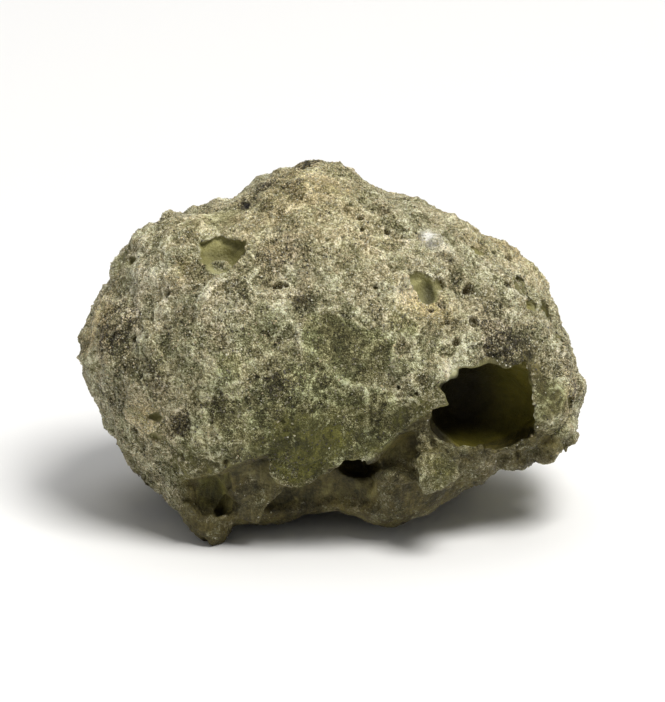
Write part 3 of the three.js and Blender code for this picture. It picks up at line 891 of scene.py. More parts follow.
    patches: dict[Tint, tuple[Patch, ...]] = field(default_factory=lambda: {
        Tint.TAN: patches_at(
            (-2.1, 13.5, 3.2, 0.7), (2.5, 9.0, 2.6, 0.4), (13.2, 9.8, 4.0, 0.7), (16.3, 7.0, 3.0, 0.6),
            (-18.4, 2.3, 2.0, 0.9), (-11.3, 6.3, 0.9, 0.9), (8.5, 3.5, 1.2, 1.0), (5.6, 4.4, 1.2, 0.6),
            (18.6, -3.9, 1.3, 0.9), (-4.8, 9.4, 3.0, 0.4), (-14.5, -5.5, 1.8, 0.5), (-10.0, 10.2, 2.4, 0.3),
            (-14.2, -5.6, 1.2, 0.4), (0.6, 13.0, 0.8, 0.9), (6.6, 3.4, 0.8, 0.8), (3.0, 12.0, 5.0, 0.6, 1),
            (-14.0, 3.0, 3.0, 0.5, 1)),
        Tint.SOOT: patches_at(
            (13.8, 0.8, 1.9, 1.3), (12.2, 1.8, 1.4, 0.7), (-13.5, -2.3, 0.9, 1.3), (-12.0, 2.4, 0.7, 0.8),
            (-17.2, 1.6, 1.4, 1.1), (-15.8, 3.9, 1.5, 0.6), (-2.2, 4.2, 0.6, 1.2), (-5.2, 12.9, 0.8, 1.4),
            (-4.3, 13.2, 0.6, 0.7), (-6.6, 11.4, 0.5, 2.2), (-1.9, 14.7, 0.7, 2.0), (-4.0, 7.8, 1.8, 0.6),
            (-7.2, 5.0, 1.5, 0.2), (-8.2, 1.5, 1.5, 0.3), (9.3, 2.4, 0.6, 0.4), (18.9, -2.9, 1.1, 1.4),
            (17.9, -0.8, 0.9, 0.8), (-2.6, -2.2, 1.5, 0.25), (-1.7, -9.8, 1.0, 0.4), (2.0, 9.3, 0.9, 0.7),
            (-3.9, -9.2, 1.4, 0.5), (-6.0, -9.1, 0.9, 1.2), (-9.0, -4.6, 0.9, 0.6), (-11.8, -5.8, 0.8, 0.6),
            (3.7, 11.3, 0.7, 0.3), (-2.8, 12.9, 0.7, 0.5), (16.0, -7.6, 1.2, 0.3), (3.6, 3.2, 0.8, 0.5),
            (-10.0, 4.0, 2.4, 0.8, 1), (11.0, 6.0, 1.6, 0.8, 1), (1.0, 3.0, 1.2, 0.7, 1)),
        # Moss along the lip paints the glow of thin glass that light comes through, as well as its green.
        Tint.MOSS: patches_at(
            (7.5, -3.7, 0.8, 0.6), (15.6, -1.0, 0.7, 0.8), (-10.9, -9.3, 1.6, 1.3), (-3.8, -9.4, 1.3, 1.5),
            (-1.8, -9.6, 1.2, 0.8), (0.7, -6.2, 1.6, 1.0), (-9.6, -11.3, 1.3, 0.9), (-2.0, -7.2, 1.5, 1.2),
            (-3.6, -6.4, 1.2, 0.7), (0.8, -7.0, 1.4, 0.8), (-16.2, 7.3, 0.8, 0.7), (-6.6, -7.5, 0.9, 0.6),
            (-8.8, -8.5, 0.8, 0.5), (3.4, -7.0, 1.0, 0.6), (5.4, -5.4, 0.9, 0.9), (6.6, -4.5, 0.8, 0.6),
            (8.4, -9.2, 1.3, 0.7, -1, 3.0), (13.2, -8.2, 2.0, 0.5), (-2.4, -9.0, 1.4, 0.9),
            (8.0, -6.5, 2.0, 0.7, 1)),
        Tint.PALE: patches_at(
            (8.5, 3.1, 0.5, 0.6), (5.4, -0.6, 0.9, 0.5), (17.8, -1.6, 1.3, 0.4), (-8.7, 6.4, 0.6, 0.9),
            (9.0, -0.4, 0.9, 0.4), (-10.0, 10.4, 2.4, 0.2), (-8.2, 4.6, 1.6, 0.35), (-4.2, 7.6, 1.8, 0.3),
            (-15.0, 6.4, 2.4, 0.75), (-11.2, 11.0, 1.2, 0.4), (8.0, 3.3, 1.3, 0.7), (-14.2, -5.6, 1.2, 0.5),
            (8.7, 7.7, 0.8, 0.7), (-0.9, 14.3, 0.8, 0.8), (1.6, 11.2, 1.0, 0.5), (9.2, 10.3, 0.7, 0.5),
            (5.1, 4.6, 0.8, 1.0), (5.8, 3.7, 0.7, 0.8), (9.5, -1.6, 0.8, 1.2), (-4.1, 3.6, 0.7, 0.9),
            (15.0, 4.0, 3.4, 0.4), (6.0, 7.0, 3.0, 0.35), (2.9, -8.1, 0.5, 1.0),
            (7.4, -10.3, 0.7, 1.2, -1, 4.7), (8.7, -10.2, 0.7, 0.9, -1, 4.7),
            (8.4, -9.0, 0.9, 0.4, -1, 3.0), (7.1, -6.6, 0.6, 0.8), (5.2, -9.8, 0.35, 1.4),
            (4.4, -9.6, 0.35, 1.2), (-10.9, -12.2, 0.6, 0.9), (-4.0, 7.0, 3.0, 0.5, 1),
            (12.0, -2.0, 2.0, 0.5, 1)),
        Tint.GREEN: patches_at(
            (0.6, 0.6, 3.0, 0.3), (3.4, -0.6, 2.6, 0.2), (-3.2, -3.9, 3.0, 0.3), (-3.4, -6.3, 2.4, 1.1),
            (1.1, -5.5, 3.0, 0.9), (3.8, -6.3, 2.2, 0.9), (7.2, 0.2, 2.4, 0.3), (17.0, -4.4, 1.3, 1.3),
            (16.4, -6.6, 1.5, 1.0), (16.8, -3.6, 1.2, 0.8), (-2.4, -2.4, 1.5, 0.6), (-6.4, -0.8, 1.5, 0.3),
            (-9.5, 10.2, 2.2, 0.15), (-9.5, -2.5, 2.0, 0.6), (-7.0, -5.0, 1.8, 0.6),
            (-10.5, -6.5, 1.5, 0.8), (-5.0, 1.8, 1.4, 0.7), (-13.0, -0.5, 1.6, 0.7), (-6.2, -8.0, 1.6, 0.8),
            (-2.8, -9.4, 1.4, 1.0), (8.2, -9.2, 1.4, 0.8, -1, 3.0), (14.0, -8.4, 2.4, 0.5),
            (6.0, 0.0, 4.0, 0.9, 1), (-5.0, -6.0, 3.5, 0.8, 1)),
        Tint.BARE: patches_at(
            (16.7, -3.6, 1.1, 0.9), (17.2, -5.4, 1.3, 0.9), (15.6, -1.0, 0.8, 1.2), (16.9, -7.2, 1.4, 0.6),
            (13.0, -8.6, 2.0, 0.5), (-10.8, -9.5, 1.0, 0.9), (-8.6, -9.0, 0.7, 0.5)),
        Tint.GLAZE: patches_at(
            (-10.2, 10.3, 1.5, 0.8), (-12.8, 8.6, 1.0, 0.8), (-7.6, 10.6, 1.0, 0.8), (-15.9, 6.6, 0.9, 0.8),
            (-10.6, -8.9, 1.0, 0.9), (-8.6, -8.5, 0.9, 0.9), (-6.6, -7.8, 0.9, 0.9), (-4.6, -7.2, 1.0, 0.9),
            (-2.2, -7.4, 1.3, 0.9), (0.6, -7.4, 1.2, 0.7), (3.4, -7.0, 1.0, 0.8), (6.2, -4.6, 1.0, 0.7),
            (16.9, -4.6, 1.2, 1.1), (17.0, -7.2, 1.4, 0.9), (12.6, -8.6, 2.0, 0.8), (0.4, 0.6, 1.4, 0.5)),
        Tint.CHALK: patches_at(
            (7.65, 8.95, 0.42, 1.9), (8.15, 8.6, 0.42, 1.7)),
        Tint.CHAR: patches_at(
            (-6.6, 11.35, 0.3, 1.5), (-5.9, 12.75, 0.4, 0.5), (-5.1, 12.95, 0.5, 0.6)),
        Tint.CRUST: patches_at(
            (-2.6, -9.2, 1.7, 1.3), (-4.2, -9.0, 0.9, 1.0), (8.2, -9.3, 1.8, 1.4, -1, 2.8),
            (7.1, -6.6, 0.8, 1.3), (5.1, -8.3, 1.1, 0.5), (-10.9, -12.2, 0.8, 0.9), (-5.9, -11.6, 1.1, 0.6),
            (4.8, -9.6, 0.7, 0.8), (10.2, -8.8, 1.2, 0.4), (13.5, -7.8, 1.8, 0.5), (17.0, -6.8, 2.2, 0.6)),
    })
    small_patch: float = 0.5
    middling_patch: float = 0.8
    relief: Relief = field(default_factory=Relief)
    dome_squares: int = 170
    step_squares: int = 44
    pit_squares: int = 18
    prism_pitch: float = 0.28
    voxel: float = 0.14
    triangles: int = 197_000

    def under_lip(self, points: np.ndarray) -> np.ndarray:
        """How far below the lip each point of the front is, in millimetres."""
        x, z = np.array(self.lip).T
        return np.interp(points[:, 0], x, z) - points[:, 2]

    def outside(self) -> Surface:
        """The dome, its front set back under the lip: most just below it, by 2^-(drop / lip_fade)^2.

        Returns:
            The closed surface.
        """
        ball = block_ball(self.dome_squares)
        points = ball.points * self.dome.reach(ball.points)[:, None]
        drop = self.under_lip(points + 0.25 * rough(points, 1.4, 3, 41, 0.6)[:, None])
        left = ramp(points[:, 0], 8.2, 7.2) * ramp(points[:, 0], -12.4, -10.2)
        fade = 2.0 ** -((np.maximum(drop, 0) / self.lip_fade) ** 2)
        back = self.lip_step * left * ramp(drop, 0.0, 0.22) * fade
        back *= ramp(-points[:, 1], 2.5, 5.0)
        return Surface(points - ball.points * back[:, None], ball.faces)

    def cutter(self, shape: Union[Bubble, Pit, Prism], squares: int, seed: int) -> Surface:
        """A shape to cut or add: smooth deep down, and ragged where it meets the outside.

        A bubble's wall moves outwards by half the dome's lumps, and by rough noise whose height falls
        as exp(-(depth / 0.9 mm)^2) below the outside.

        Args:
            shape: The bubble, pit or prism.
            squares: Squares along each edge of its block ball.
            seed: Picks the noise.

        Returns:
            The closed surface.
        """
        if isinstance(shape, Prism):
            return shape.surface(self.prism_pitch, seed)
        bubble = self.dome.pit_bubble(shape) if isinstance(shape, Pit) else shape
        ball = block_ball(squares)
        wall = bubble.spread(ball.points)
        depth = np.maximum(self.dome.depth_below(wall), 0)
        ragged = bubble.ragged * np.exp(-((depth / 0.9) ** 2)) * rough(wall, 1.6, 3, seed, 0.7)
        ragged += 0.12 * ripples(wall, 2.6, seed + 50)
        swell = 0.5 * self.dome.lumps(wall) if min(bubble.half) > 1.6 else 0
        return Surface(wall + ball.points * (swell + ragged)[:, None], ball.faces)

    def carve(self) -> bpy.types.Object:
        """The outside with its steps and pits cut or added, in even small facets.

        Returns:
            The carved lump.
        """
        lump = self.outside().to_object("lump")
        shapes = [(act, shape, self.step_squares) for act, shape in self.steps.values()]
        shapes += [(act, shape, self.pit_squares) for act, shape in self.pits.values()]
        cutters = []
        for index, (act, shape, squares) in enumerate(shapes):
            cutter = self.cutter(shape, squares, 100 + index).to_object(f"cutter_{index}")
            cut = lump.modifiers.new(f"step_{index}", "BOOLEAN")
            cut.operation, cut.object, cut.solver = act.value, cutter, "MANIFOLD"
            cutters.append(cutter)
        remesh = lump.modifiers.new("even_facets", "REMESH")
        remesh.mode, remesh.voxel_size = "VOXEL", self.voxel
        apply_modifiers(lump)
        for cutter in cutters:
            bpy.data.objects.remove(cutter)
        return lump

    def on_dome(self, x: float, z: float, side: int = -1) -> np.ndarray:
        """The point of the bare dome at x, z on its front (-1) or back (1)."""
        return np.array(self.dome.pit_bubble(Pit(x, z, side, (1, 1, 1), 0)).at)

    def patch_strength(self, tint: Tint, points: np.ndarray, wavy: Optional[np.ndarray] = None,
                       pushed: Optional[np.ndarray] = None) -> np.ndarray:
        """Strength of a tint's patches: each fades as 2^-(d / size)^2 with the distance d from it.

        Args:
            tint: The tint.
            points: Positions in millimetres.
            wavy: Where the points are for all but small patches, if not at their positions.
            pushed: Where they are for patches larger than middling ones, if wavy is given.

        Returns:
            The strengths.
        """
        strength = np.zeros(len(points))
        for patch in self.patches[tint]:
            middle = self.on_dome(patch.x, patch.z, patch.side) + (0, patch.side * patch.ahead, 0)
            place = points
            if wavy is not None and patch.size > self.small_patch:
                place = wavy if patch.size <= self.middling_patch else pushed
            away = np.linalg.norm(place - middle, axis=-1) / patch.size
            strength += patch.strength * 2.0 ** -(away ** 2)
        return strength

    def sheet_depth(self, points: np.ndarray, tint: Optional[Tint] = None) -> tuple[np.ndarray, np.ndarray]:
        """How far inside the nearest sheet's edge each point is, and how strong the sheets are there.

        Args:
            points: Positions in millimetres.
            tint: The sheets' tint, or None for all of them.

        Returns:
            The depths in millimetres, negative outside, and the strengths.
        """
        flat = points[:, [0, 2]]
        deepest, strength = np.full(len(points), -FAR_OFF), np.zeros(len(points))
        for sheet in (each for each in self.sheets if tint in (None, each.tint)):
            depth = sheet.depth(flat)
            deepest = np.maximum(deepest, depth)
            strength = np.maximum(strength, sheet.strength * ramp(depth, -0.1, 0.25))
        return deepest, strength * ramp(-points[:, 1], 2.0, 5.0)

    def seam_strength(self, points: np.ndarray) -> np.ndarray:
        """Strength of the weld lines: each fades as 2^-(d / seam_width)^2 with the distance d from it.

        Args:
            points: Positions in millimetres.

        Returns:
            The strengths, nothing at the sides and the back.
        """
        strength = np.zeros(len(points))
        flat = points[:, [0, 2]]
        for seam in self.seams:
            line = np.array(seam.line)
            away = np.full(len(points), FAR_OFF)
            for start, end in zip(line[:-1], line[1:]):
                away = np.minimum(away, gap_to_side(flat, start, end))
            strength = np.maximum(strength, seam.strength * 2.0 ** -((away / self.seam_width) ** 2))
        return strength * ramp(-points[:, 1], 3.0, 6.0)

    def holes(self, normals: np.ndarray, where: "SkinMap") -> np.ndarray:
        """How far each point sinks into small burst bubbles, of three sizes, and into the pores.

        Args:
            normals: Outward normals at the points.
            where: What is where on the lump.

        Returns:
            The distances in millimetres.
        """
        points = stirred(where.points, 0.1, 0.7, 1, 80)
        holes = where.skin * self.burst(points, normals, 3.1, 0.5, 0.22, 21) + self.pierce(points, normals)
        holes += (0.3 + 0.7 * where.skin) * self.burst(points, normals, 1.3, 0.2, 0.3, 22)
        return holes + where.ends * self.burst(points, normals, 1.8, 0.42, 0.5, 23)

    def roughen(self, lump: bpy.types.Object) -> None:
        """Move the lump's points along their normals, and note where the skin, walls and plates are.

        Args:
            lump: The carved lump, whose mesh is changed in place.
        """
        points, normals = read_points(lump.data)
        where = SkinMap(self, points)
        seams, holes = where.seams(), self.holes(normals, where)
        out = where.relief(self.relief, seams) - holes
        write_points(lump.data, points + normals * out[:, None])
        x, y, _ = points.T
        # The walls' colour darkens with depth as painted shade, and throat adds more of it on walls right of
        # x 7.8 on the front and towards the back.
        throat = np.maximum(0.3 * ramp(x, 6.8, 7.8) * where.front, 0.17 * ramp(y, -3.0, 0.0))
        for key, values in {
            "skin": where.skin,
            "seam": seams,
            "plate": where.plate,
            "deep": np.clip(where.depth / 6 + throat * ramp(where.depth, 0.3, 0.8), 0, 1),
            "hole": ramp(holes, 0.12, 0.5),
            "lace": where.lace * (1 - where.under),
            "tone": where.tone,
            "under": where.under * ramp(x, -12.6, -10.5),
        }.items():
            write_number(lump.data, key, values)
        lump.data.update()

    @staticmethod
    def sink_into(u: np.ndarray, normals: np.ndarray, radius: np.ndarray) -> np.ndarray:
        """How far a point at u from a round bubble's centre sinks along its normal to the far wall.

        It is u.n + sqrt((u.n)^2 - u.u + r^2), or 0 outside the bubble's cylinder.

        Args:
            u: Offsets from the bubble's centre.
            normals: Outward normals.
            radius: Radii of the bubbles.

        Returns:
            The distances in millimetres.
        """
        along = np.einsum("ij,ij->i", u, normals)
        square = along ** 2 - np.einsum("ij,ij->i", u, u) + radius ** 2
        reach = along + np.sqrt(np.maximum(square, 0))
        return np.where((square > 0) & (np.abs(along) < 2 * radius), np.maximum(reach, 0), 0)

    def burst(self, points: np.ndarray, normals: np.ndarray, pitch: float, radius: float,
              share: float, seed: int) -> np.ndarray:
        """How far each point sinks into small bubbles scattered one to a lattice cell.

        Args:
            points: Positions in millimetres.
            normals: Outward normals there.
            pitch: Size of a lattice cell.
            radius: Radius of the largest bubble.
            share: Share of the cells that hold one.
            seed: Picks the scatter.

        Returns:
            The distances in millimetres, 0 outside every bubble.
        """
        cell = np.floor(points / pitch)
        sink = np.zeros(len(points))
        for step in np.ndindex(3, 3, 3):
            other = cell + np.array(step) - 1
            spot = other + scatter_places(other, seed)
            size = radius * (0.3 + 0.7 * scatter_numbers(other, seed + 3) ** 2)
            held = scatter_numbers(other, seed + 4) < share
            sink = np.maximum(sink, held * self.sink_into(points - spot * pitch, normals, size))
        return np.minimum(sink, 1.2 * radius)

    def pierce(self, points: np.ndarray, normals: np.ndarray) -> np.ndarray:
        """How far each point sinks into the pores, each a round hole somewhat deeper than it is wide.

        Args:
            points: Positions in millimetres.
            normals: Outward normals there.

        Returns:
            The distances in millimetres, 0 outside every pore.
        """
        sink = np.zeros(len(points))
        for pore in self.pores:
            centre = self.on_dome(pore.x, pore.z, pore.side)
            near = np.linalg.norm((points - centre)[:, [0, 2]], axis=-1) < 3 * pore.radius
            near &= np.abs(points[:, 1] - centre[1]) < 2.0
            if near.any():
                centre[1] = points[near, 1].mean()
                reach = self.sink_into(points[near] - centre, normals[near], np.array(1.3 * pore.radius))
                sink[near] = np.maximum(sink[near], 1.8 * reach)
        return sink

    def thin(self, lump: bpy.types.Object) -> None:
        """Collapse the flattest facets until the lump has its number of triangles.

        Args:
            lump: The lump, whose mesh is replaced.
        """
        lump.data.calc_loop_triangles()
        collapse = lump.modifiers.new("fewer_facets", "DECIMATE")
        collapse.ratio = min(1.0, self.triangles / len(lump.data.loop_triangles))
        collapse.use_collapse_triangulate = True
        apply_modifiers(lump)

    def stand_out(self, lump: bpy.types.Object) -> np.ndarray:
        """How far each point stands above the mean of its neighbours, spread out twice.

        The rise along an edge is the offset between its ends times the sum of their normals.

        Args:
            lump: The lump.

        Returns:
            The heights in the lump's own units.
        """
        points, normals = read_points(lump.data)
        edges = np.empty(len(lump.data.edges) * 2, np.int32)
        lump.data.edges.foreach_get("vertices", edges)
        start, end = edges.reshape(-1, 2).T
        rise = np.einsum("ij,ij->i", points[start] - points[end], normals[start] + normals[end])
        shared = np.bincount(edges, minlength=len(points))
        relief = np.bincount(start, rise, len(points)) - np.bincount(end, rise, len(points))
        relief /= shared
        for _ in range(2):
            spread = np.bincount(start, relief[end], len(points))
            spread = spread + np.bincount(end, relief[start], len(points))
            relief = 0.5 * relief + 0.5 * spread / shared
        return relief

    def tint(self, lump: bpy.types.Object) -> None:
        """Note the strength of each tint, the painted light in the great bubble, and how far each point
        stands out.

        The points are pushed about by noise before the patches are read. The bare tint also covers
        what lies under the lip and most of the underside, apart from the crust there: the broken glass's
        own darker colour, and painted shade as well.

        Args:
            lump: The lump, in its own frame.
        """
        points, _ = read_points(lump.data)
        x, y, z = points.T
        pushed, wavy = stirred(points, 0.9, 2.6, 4, 60), stirred(points, 0.3, 1.1, 3, 90)
        write_number(lump.data, "sheet", self.sheet_depth(wavy)[1])
        for tint in Tint:
            strength = self.patch_strength(tint, points, wavy, pushed) + self.sheet_depth(wavy, tint)[1]
            if tint is Tint.BARE:
                # Under the lip and on the low part behind the front, bare glass stands for the broken glass
                # and for painted shade.
                low = ramp(z + 2.5 * rough(points, 6.0, 3, 65), -6.5, -9.5) * ramp(y, -3, 0)
                strength = np.maximum(np.maximum(read_number(lump.data, "under"), 0.7 * low), strength)
                strength *= 1 - 0.75 * np.minimum(self.patch_strength(Tint.CRUST, points), 1)
                strength *= 1 - 0.15 * ramp(x, 8, 10)
            write_number(lump.data, tint.value, np.minimum(strength, 1.5))
        # Painted light: the thin right side of the great bubble and its floor near the mouth are noted as
        # lit, and their lining is painted lighter.
        floor = 1.8 * ramp(z, -5.6, -7.2) * ramp(x, 8.5, 11.0)
        write_number(lump.data, "lit", np.maximum(ramp(x, 11.0, 15.2), floor) * ramp(-y, 0.0, 1.5))
        # How far each point stands out: the skin's colour takes it as painted light on raised points and
        # painted shade in hollows.
        write_number(lump.data, "relief", np.clip(self.stand_out(lump) / 0.06, -1, 1))

    def build(self) -> bpy.types.Object:
        """Carve, roughen, thin and tint the lump, then stand it on the ground.

        Returns:
            The finished piece, without a material.
        """
        lump = self.carve()
        LOG.info("carved: %d points", len(lump.data.vertices))
        self.roughen(lump)
        self.thin(lump)
        self.tint(lump)
        points, _ = read_points(lump.data)
        stood = self.stance.place(points)
        stood[:, 2] = np.maximum(stood[:, 2], 0)
        write_points(lump.data, stood)
        shade_faces(lump.data, True)
        lump.data.update()
        lump.name = lump.data.name = "glass_lump"
        return lump


class SkinMap:
    """What is where on the carved lump: a number for each point, from 0 to 1 unless noted.

    Attributes:
        stone: The lump's shapes and sizes.
        points: The points, in millimetres.
        depth: Depth below the outside, in millimetres.
        drop: Distance below the lip, in millimetres.
        front: On the front.
        under: On the front under the lip.
        skin: On the skin, where the depth is small, rather than on the wall of a bubble or break.
        into: Depth inside the nearest sheet's edge, in millimetres.
        smooth: On smoother glass.
        ends: On the skin at either end of the lump.
        bent: The points pushed about by noise.
        plate_gap: How much further the next plate of glass is, as a share of their pitch.
        plate: The plate's own random number.
        cobble: Distance from the middle of a cobble, as a share of their pitch.
        tone: The cobble's own random number.
        lace: On the thread between two cobbles.
    """

    def __init__(self, stone: GlassLump, points: np.ndarray) -> None:
        """Work out the maps.

        Args:
            stone: The lump's shapes and sizes.
            points: Positions in millimetres, shape (n, 3).
        """
        x, y, _ = points.T
        self.stone, self.points = stone, points
        self.depth, self.drop = stone.dome.depth_below(points), stone.under_lip(points)
        self.front = ramp(-y, 1.0, 3.5)
        self.under = self.front * ramp(self.drop, -0.05, 0.3)
        crust, back = 0.9 * stone.patch_strength(Tint.CRUST, points), stone.lip_step * self.under
        self.skin = ramp(self.depth - crust, 0.42 + back, 0.12 + back)
        wavy = stirred(points, 0.3, 1.1, 3, 90)
        self.into, sheet = stone.sheet_depth(wavy)
        glaze = np.minimum(stone.patch_strength(Tint.GLAZE, points), 1)
        self.smooth = np.maximum(0.6 * sheet, 0.55 * glaze)
        ends = np.maximum(ramp(x, 8.0, 12.5), 0.7 * ramp(x, -10.0, -14.0))
        self.ends = self.skin * ends * (1 - self.smooth)
        self.bent = stirred(points, 0.7, 2.4, 3, 70)
        _, self.plate_gap, self.plate = pebbles(self.bent, 3.6, 15)
        self.cobble, gap, self.tone = pebbles(wavy, 1.5, 11)
        self.lace = self.skin * ramp(gap, 0.12, 0.02) * ramp(ripples(points, 2.6, 17), -0.5, 0.3)

    def seams(self) -> np.ndarray:
        """How pale the lines are between plates, along weld lines, at sheets' hems, and along the lip, where
        the line is a painted highlight.

        Returns:
            The strengths.
        """
        x, _, z = self.points.T
        some = ramp(ripples(self.points, 7.0, 16), -0.25, 0.35) * ramp(z, 7.0, 3.0)
        between = 0.8 * some * ramp(self.plate_gap, 0.1, 0.02)
        welds = self.stone.seam_strength(self.bent * 0.35 + self.points * 0.65)
        hem = 0.7 * ramp(np.abs(self.into), 0.22, 0.05) * ramp(ripples(self.points, 1.7, 18), -0.3, 0.2)
        # Just above the lip: a painted highlight along the edge.
        edge = ramp(np.abs(self.drop + 0.12), 0.22, 0.04) * (ramp(x, 8.2, 7.8) * ramp(x, -11.0, -6.0))
        above = np.maximum(np.maximum(between, welds), hem) * (1 - self.under)
        return np.maximum(above, 0.35 * edge * self.front) * self.skin

    def relief(self, heights: Relief, seams: np.ndarray) -> np.ndarray:
        """How far each point stands out: noise, cobbles, pebbles, plates and lines, or a wall's noise.

        Args:
            heights: How high each of them is.
            seams: How pale the lines are.

        Returns:
            The distances in millimetres.
        """
        x = self.points[:, 0]
        near, _, _ = pebbles(self.points, 0.5, 12)
        coat = self.skin * (1 - 0.5 * self.under * ramp(x, 10.0, 8.0)) * (1 - self.smooth)
        coat *= 1 + 0.2 * ramp(x, 15.0, 17.5)
        lumps = heights.rolling * rough(self.points, 3.2, 5, 1, 0.62) + heights.cobbles * (0.6 - self.cobble)
        out = coat * (lumps + heights.pebbles * (0.6 - near) - heights.set_in)
        out += self.skin * self.under * ramp(x, 8.0, 10.0) * heights.rim * rough(self.points, 1.8, 3, 5, 0.6)
        steps = heights.plates * (self.plate - 0.5) + heights.blocks * (self.tone - 0.5)
        out += self.skin * (1 - self.under) * steps + heights.seams * seams + heights.lace * self.lace
        out += self.ends * heights.ends * rough(self.points, 1.5, 3, 6, 0.6)
        walls = heights.walls * rough(self.points, 2.2, 4, 2, 0.6) + heights.wall_pebbles * (0.6 - near)
        return out + (1 - self.skin) * walls


# ----------------------------------------
# Sand grains frozen onto the skin
# ----------------------------------------


@dataclass(frozen=True)
class GrainMix:
    """One kind of sand grain: how many there are, how big, and how deep they sit.

    Attributes:
        name: Name of the piece.
        count: Number of grains.
        sizes: Smallest and largest mean radius in millimetres.
        sunk: How far a grain's centre sits below the skin, as a share of its radius.
        favours: Weight of each point number where the grains gather.
        seed: Picks the scatter.
        anywhere: Weight of the rest of the skin.
    """

    name: str
    count: int
    sizes: tuple[float, float]
    sunk: float
    favours: dict[str, float]
    seed: int
    anywhere: float = 0.35


@dataclass
class SandGrains:
    """Grains scattered over the lump's skin, one joined mesh for each kind."""

    lump: bpy.types.Object
    mixes: tuple[GrainMix, ...] = (
        GrainMix("quartz_grains", 18000, (0.03, 0.10), 0.3,
                 {"pale": 0.8, "green": -0.28, "bare": -0.9, "soot": -0.2, "moss": -0.5,
                  "glaze": -0.9, "under": -0.8}, 31),
        GrainMix("crust_grains", 24000, (0.05, 0.15), 0.35,
                 {"plate": 0.3, "green": -0.2, "bare": -0.7, "moss": -0.5, "soot": -0.2, "glaze": -0.8,
                  "under": -0.6}, 32),
        GrainMix("feldspar_grains", 16000, (0.045, 0.13), 0.25,
                 {"tan": 1.0, "green": -0.25, "bare": -0.9, "soot": -0.3, "moss": -0.3,
                  "glaze": -0.9, "under": -0.8}, 33),
        GrainMix("dark_grains", 9000, (0.035, 0.11), 0.2,
                 {"soot": 2.0, "green": 0.15, "bare": -0.1}, 34, 0.1),
    )

    @staticmethod
    def pip() -> tuple[np.ndarray, np.ndarray]:
        """The plainest grain: an octahedron of radius 1.

        Returns:
            Its 6 corners, and its 8 faces as corner numbers, facing outwards.
        """
        corners = np.concatenate([np.eye(3), -np.eye(3)])
        faces = np.array([(i, 1 + j, 2 + k) for i in (0, 3) for j in (0, 3) for k in (0, 3)])
        a, b, c = (corners[faces[:, k]] for k in range(3))
        inward = np.einsum("ij,ij->i", np.cross(b - a, c - a), a) < 0
        faces[inward] = faces[inward][:, ::-1]
        return corners, faces

    def scatter(self, mix: GrainMix) -> bpy.types.Object:
        """Scatter one kind of grain, spread by area and by what it favours.

        Each grain is an octahedron with its corners pushed in or out at random, stretched along three
        axes, and turned by a random rotation.

        Args:
            mix: The kind of grain.

        Returns:
            The joined mesh.
        """
        dice = np.random.default_rng(mix.seed)
        mesh = self.lump.data
        points, _ = read_points(mesh)
        mesh.calc_loop_triangles()
        faces = np.empty(len(mesh.loop_triangles) * 3, np.int32)
        mesh.loop_triangles.foreach_get("vertices", faces)
        faces = faces.reshape(-1, 3)
        a, b, c = (points[faces[:, k]] for k in range(3))
        cross = np.cross(b - a, c - a)
        area = np.linalg.norm(cross, axis=1)
        weight = mix.anywhere + sum(read_number(mesh, key) * share for key, share in mix.favours.items())
        odd = np.clip(read_number(mesh, "chalk") + read_number(mesh, "char"), 0, 1)
        weight = np.clip(weight, 0.01, None) * read_number(mesh, "skin") ** 2 * (1 - odd)
        chance = area * weight[faces].mean(axis=1) * (points[faces, 2].min(axis=1) > 0.0004)
        chosen = dice.choice(len(faces), mix.count, p=chance / chance.sum())
        u, v = dice.random((2, mix.count))
        u, v = np.where(u + v > 1, 1 - u, u), np.where(u + v > 1, 1 - v, v)
        spot = a[chosen] + u[:, None] * (b - a)[chosen] + v[:, None] * (c - a)[chosen]
        normal = cross[chosen] / area[chosen][:, None]
        low, high = mix.sizes
        size = (low + (high - low) * dice.random(mix.count) ** 2.2) / 1000
        corners, sides = self.pip()
        shape = corners * dice.uniform(0.75, 1.35, (mix.count, len(corners), 1))
        shape = shape * dice.uniform(0.7, 1.25, (mix.count, 1, 3))
        turn, _ = np.linalg.qr(dice.normal(size=(mix.count, 3, 3)))
        turn *= np.sign(np.linalg.det(turn))[:, None, None]
        shape = np.einsum("nij,nkj->nki", turn, shape) * size[:, None, None]
        centre = spot - normal * (mix.sunk * size)[:, None]
        grains = (shape + centre[:, None]).reshape(-1, 3)
        every = (sides[None] + len(corners) * np.arange(mix.count)[:, None, None]).reshape(-1, 3)
        shade = np.repeat(dice.random(mix.count), len(corners))
        piece = Surface(grains, every, {"shade": shade}).to_object(mix.name)
        shade_faces(piece.data, False)
        return piece

    def build(self) -> dict[str, bpy.types.Object]:
        """Scatter every kind of grain."""
        return {mix.name: self.scatter(mix) for mix in self.mixes}


# ----------------------------------------
# Finishes
# ----------------------------------------


@dataclass(frozen=True)
class Wire:
    """A number or colour that leaves a node. Sums with wires lay out further Math nodes."""

    board: "NodeBoard"
    socket: bpy.types.NodeSocket

    def __add__(self, other: "Value") -> "Wire":
        """This and another number added up."""
        return self.board.math("ADD", self, other)

    def __sub__(self, other: "Value") -> "Wire":
        """This less another number."""
        return self.board.math("SUBTRACT", self, other)

    def __rsub__(self, other: float) -> "Wire":
        """A plain number less this."""
        return self.board.math("SUBTRACT", other, self)

    def __mul__(self, other: "Value") -> "Wire":
        """This times another number."""
        return self.board.math("MULTIPLY", self, other)

    def __abs__(self) -> "Wire":
        """This without its sign."""
        return self.board.math("ABSOLUTE", self)


Value = Union[Wire, float]
Colour = Union[Wire, Vec3]


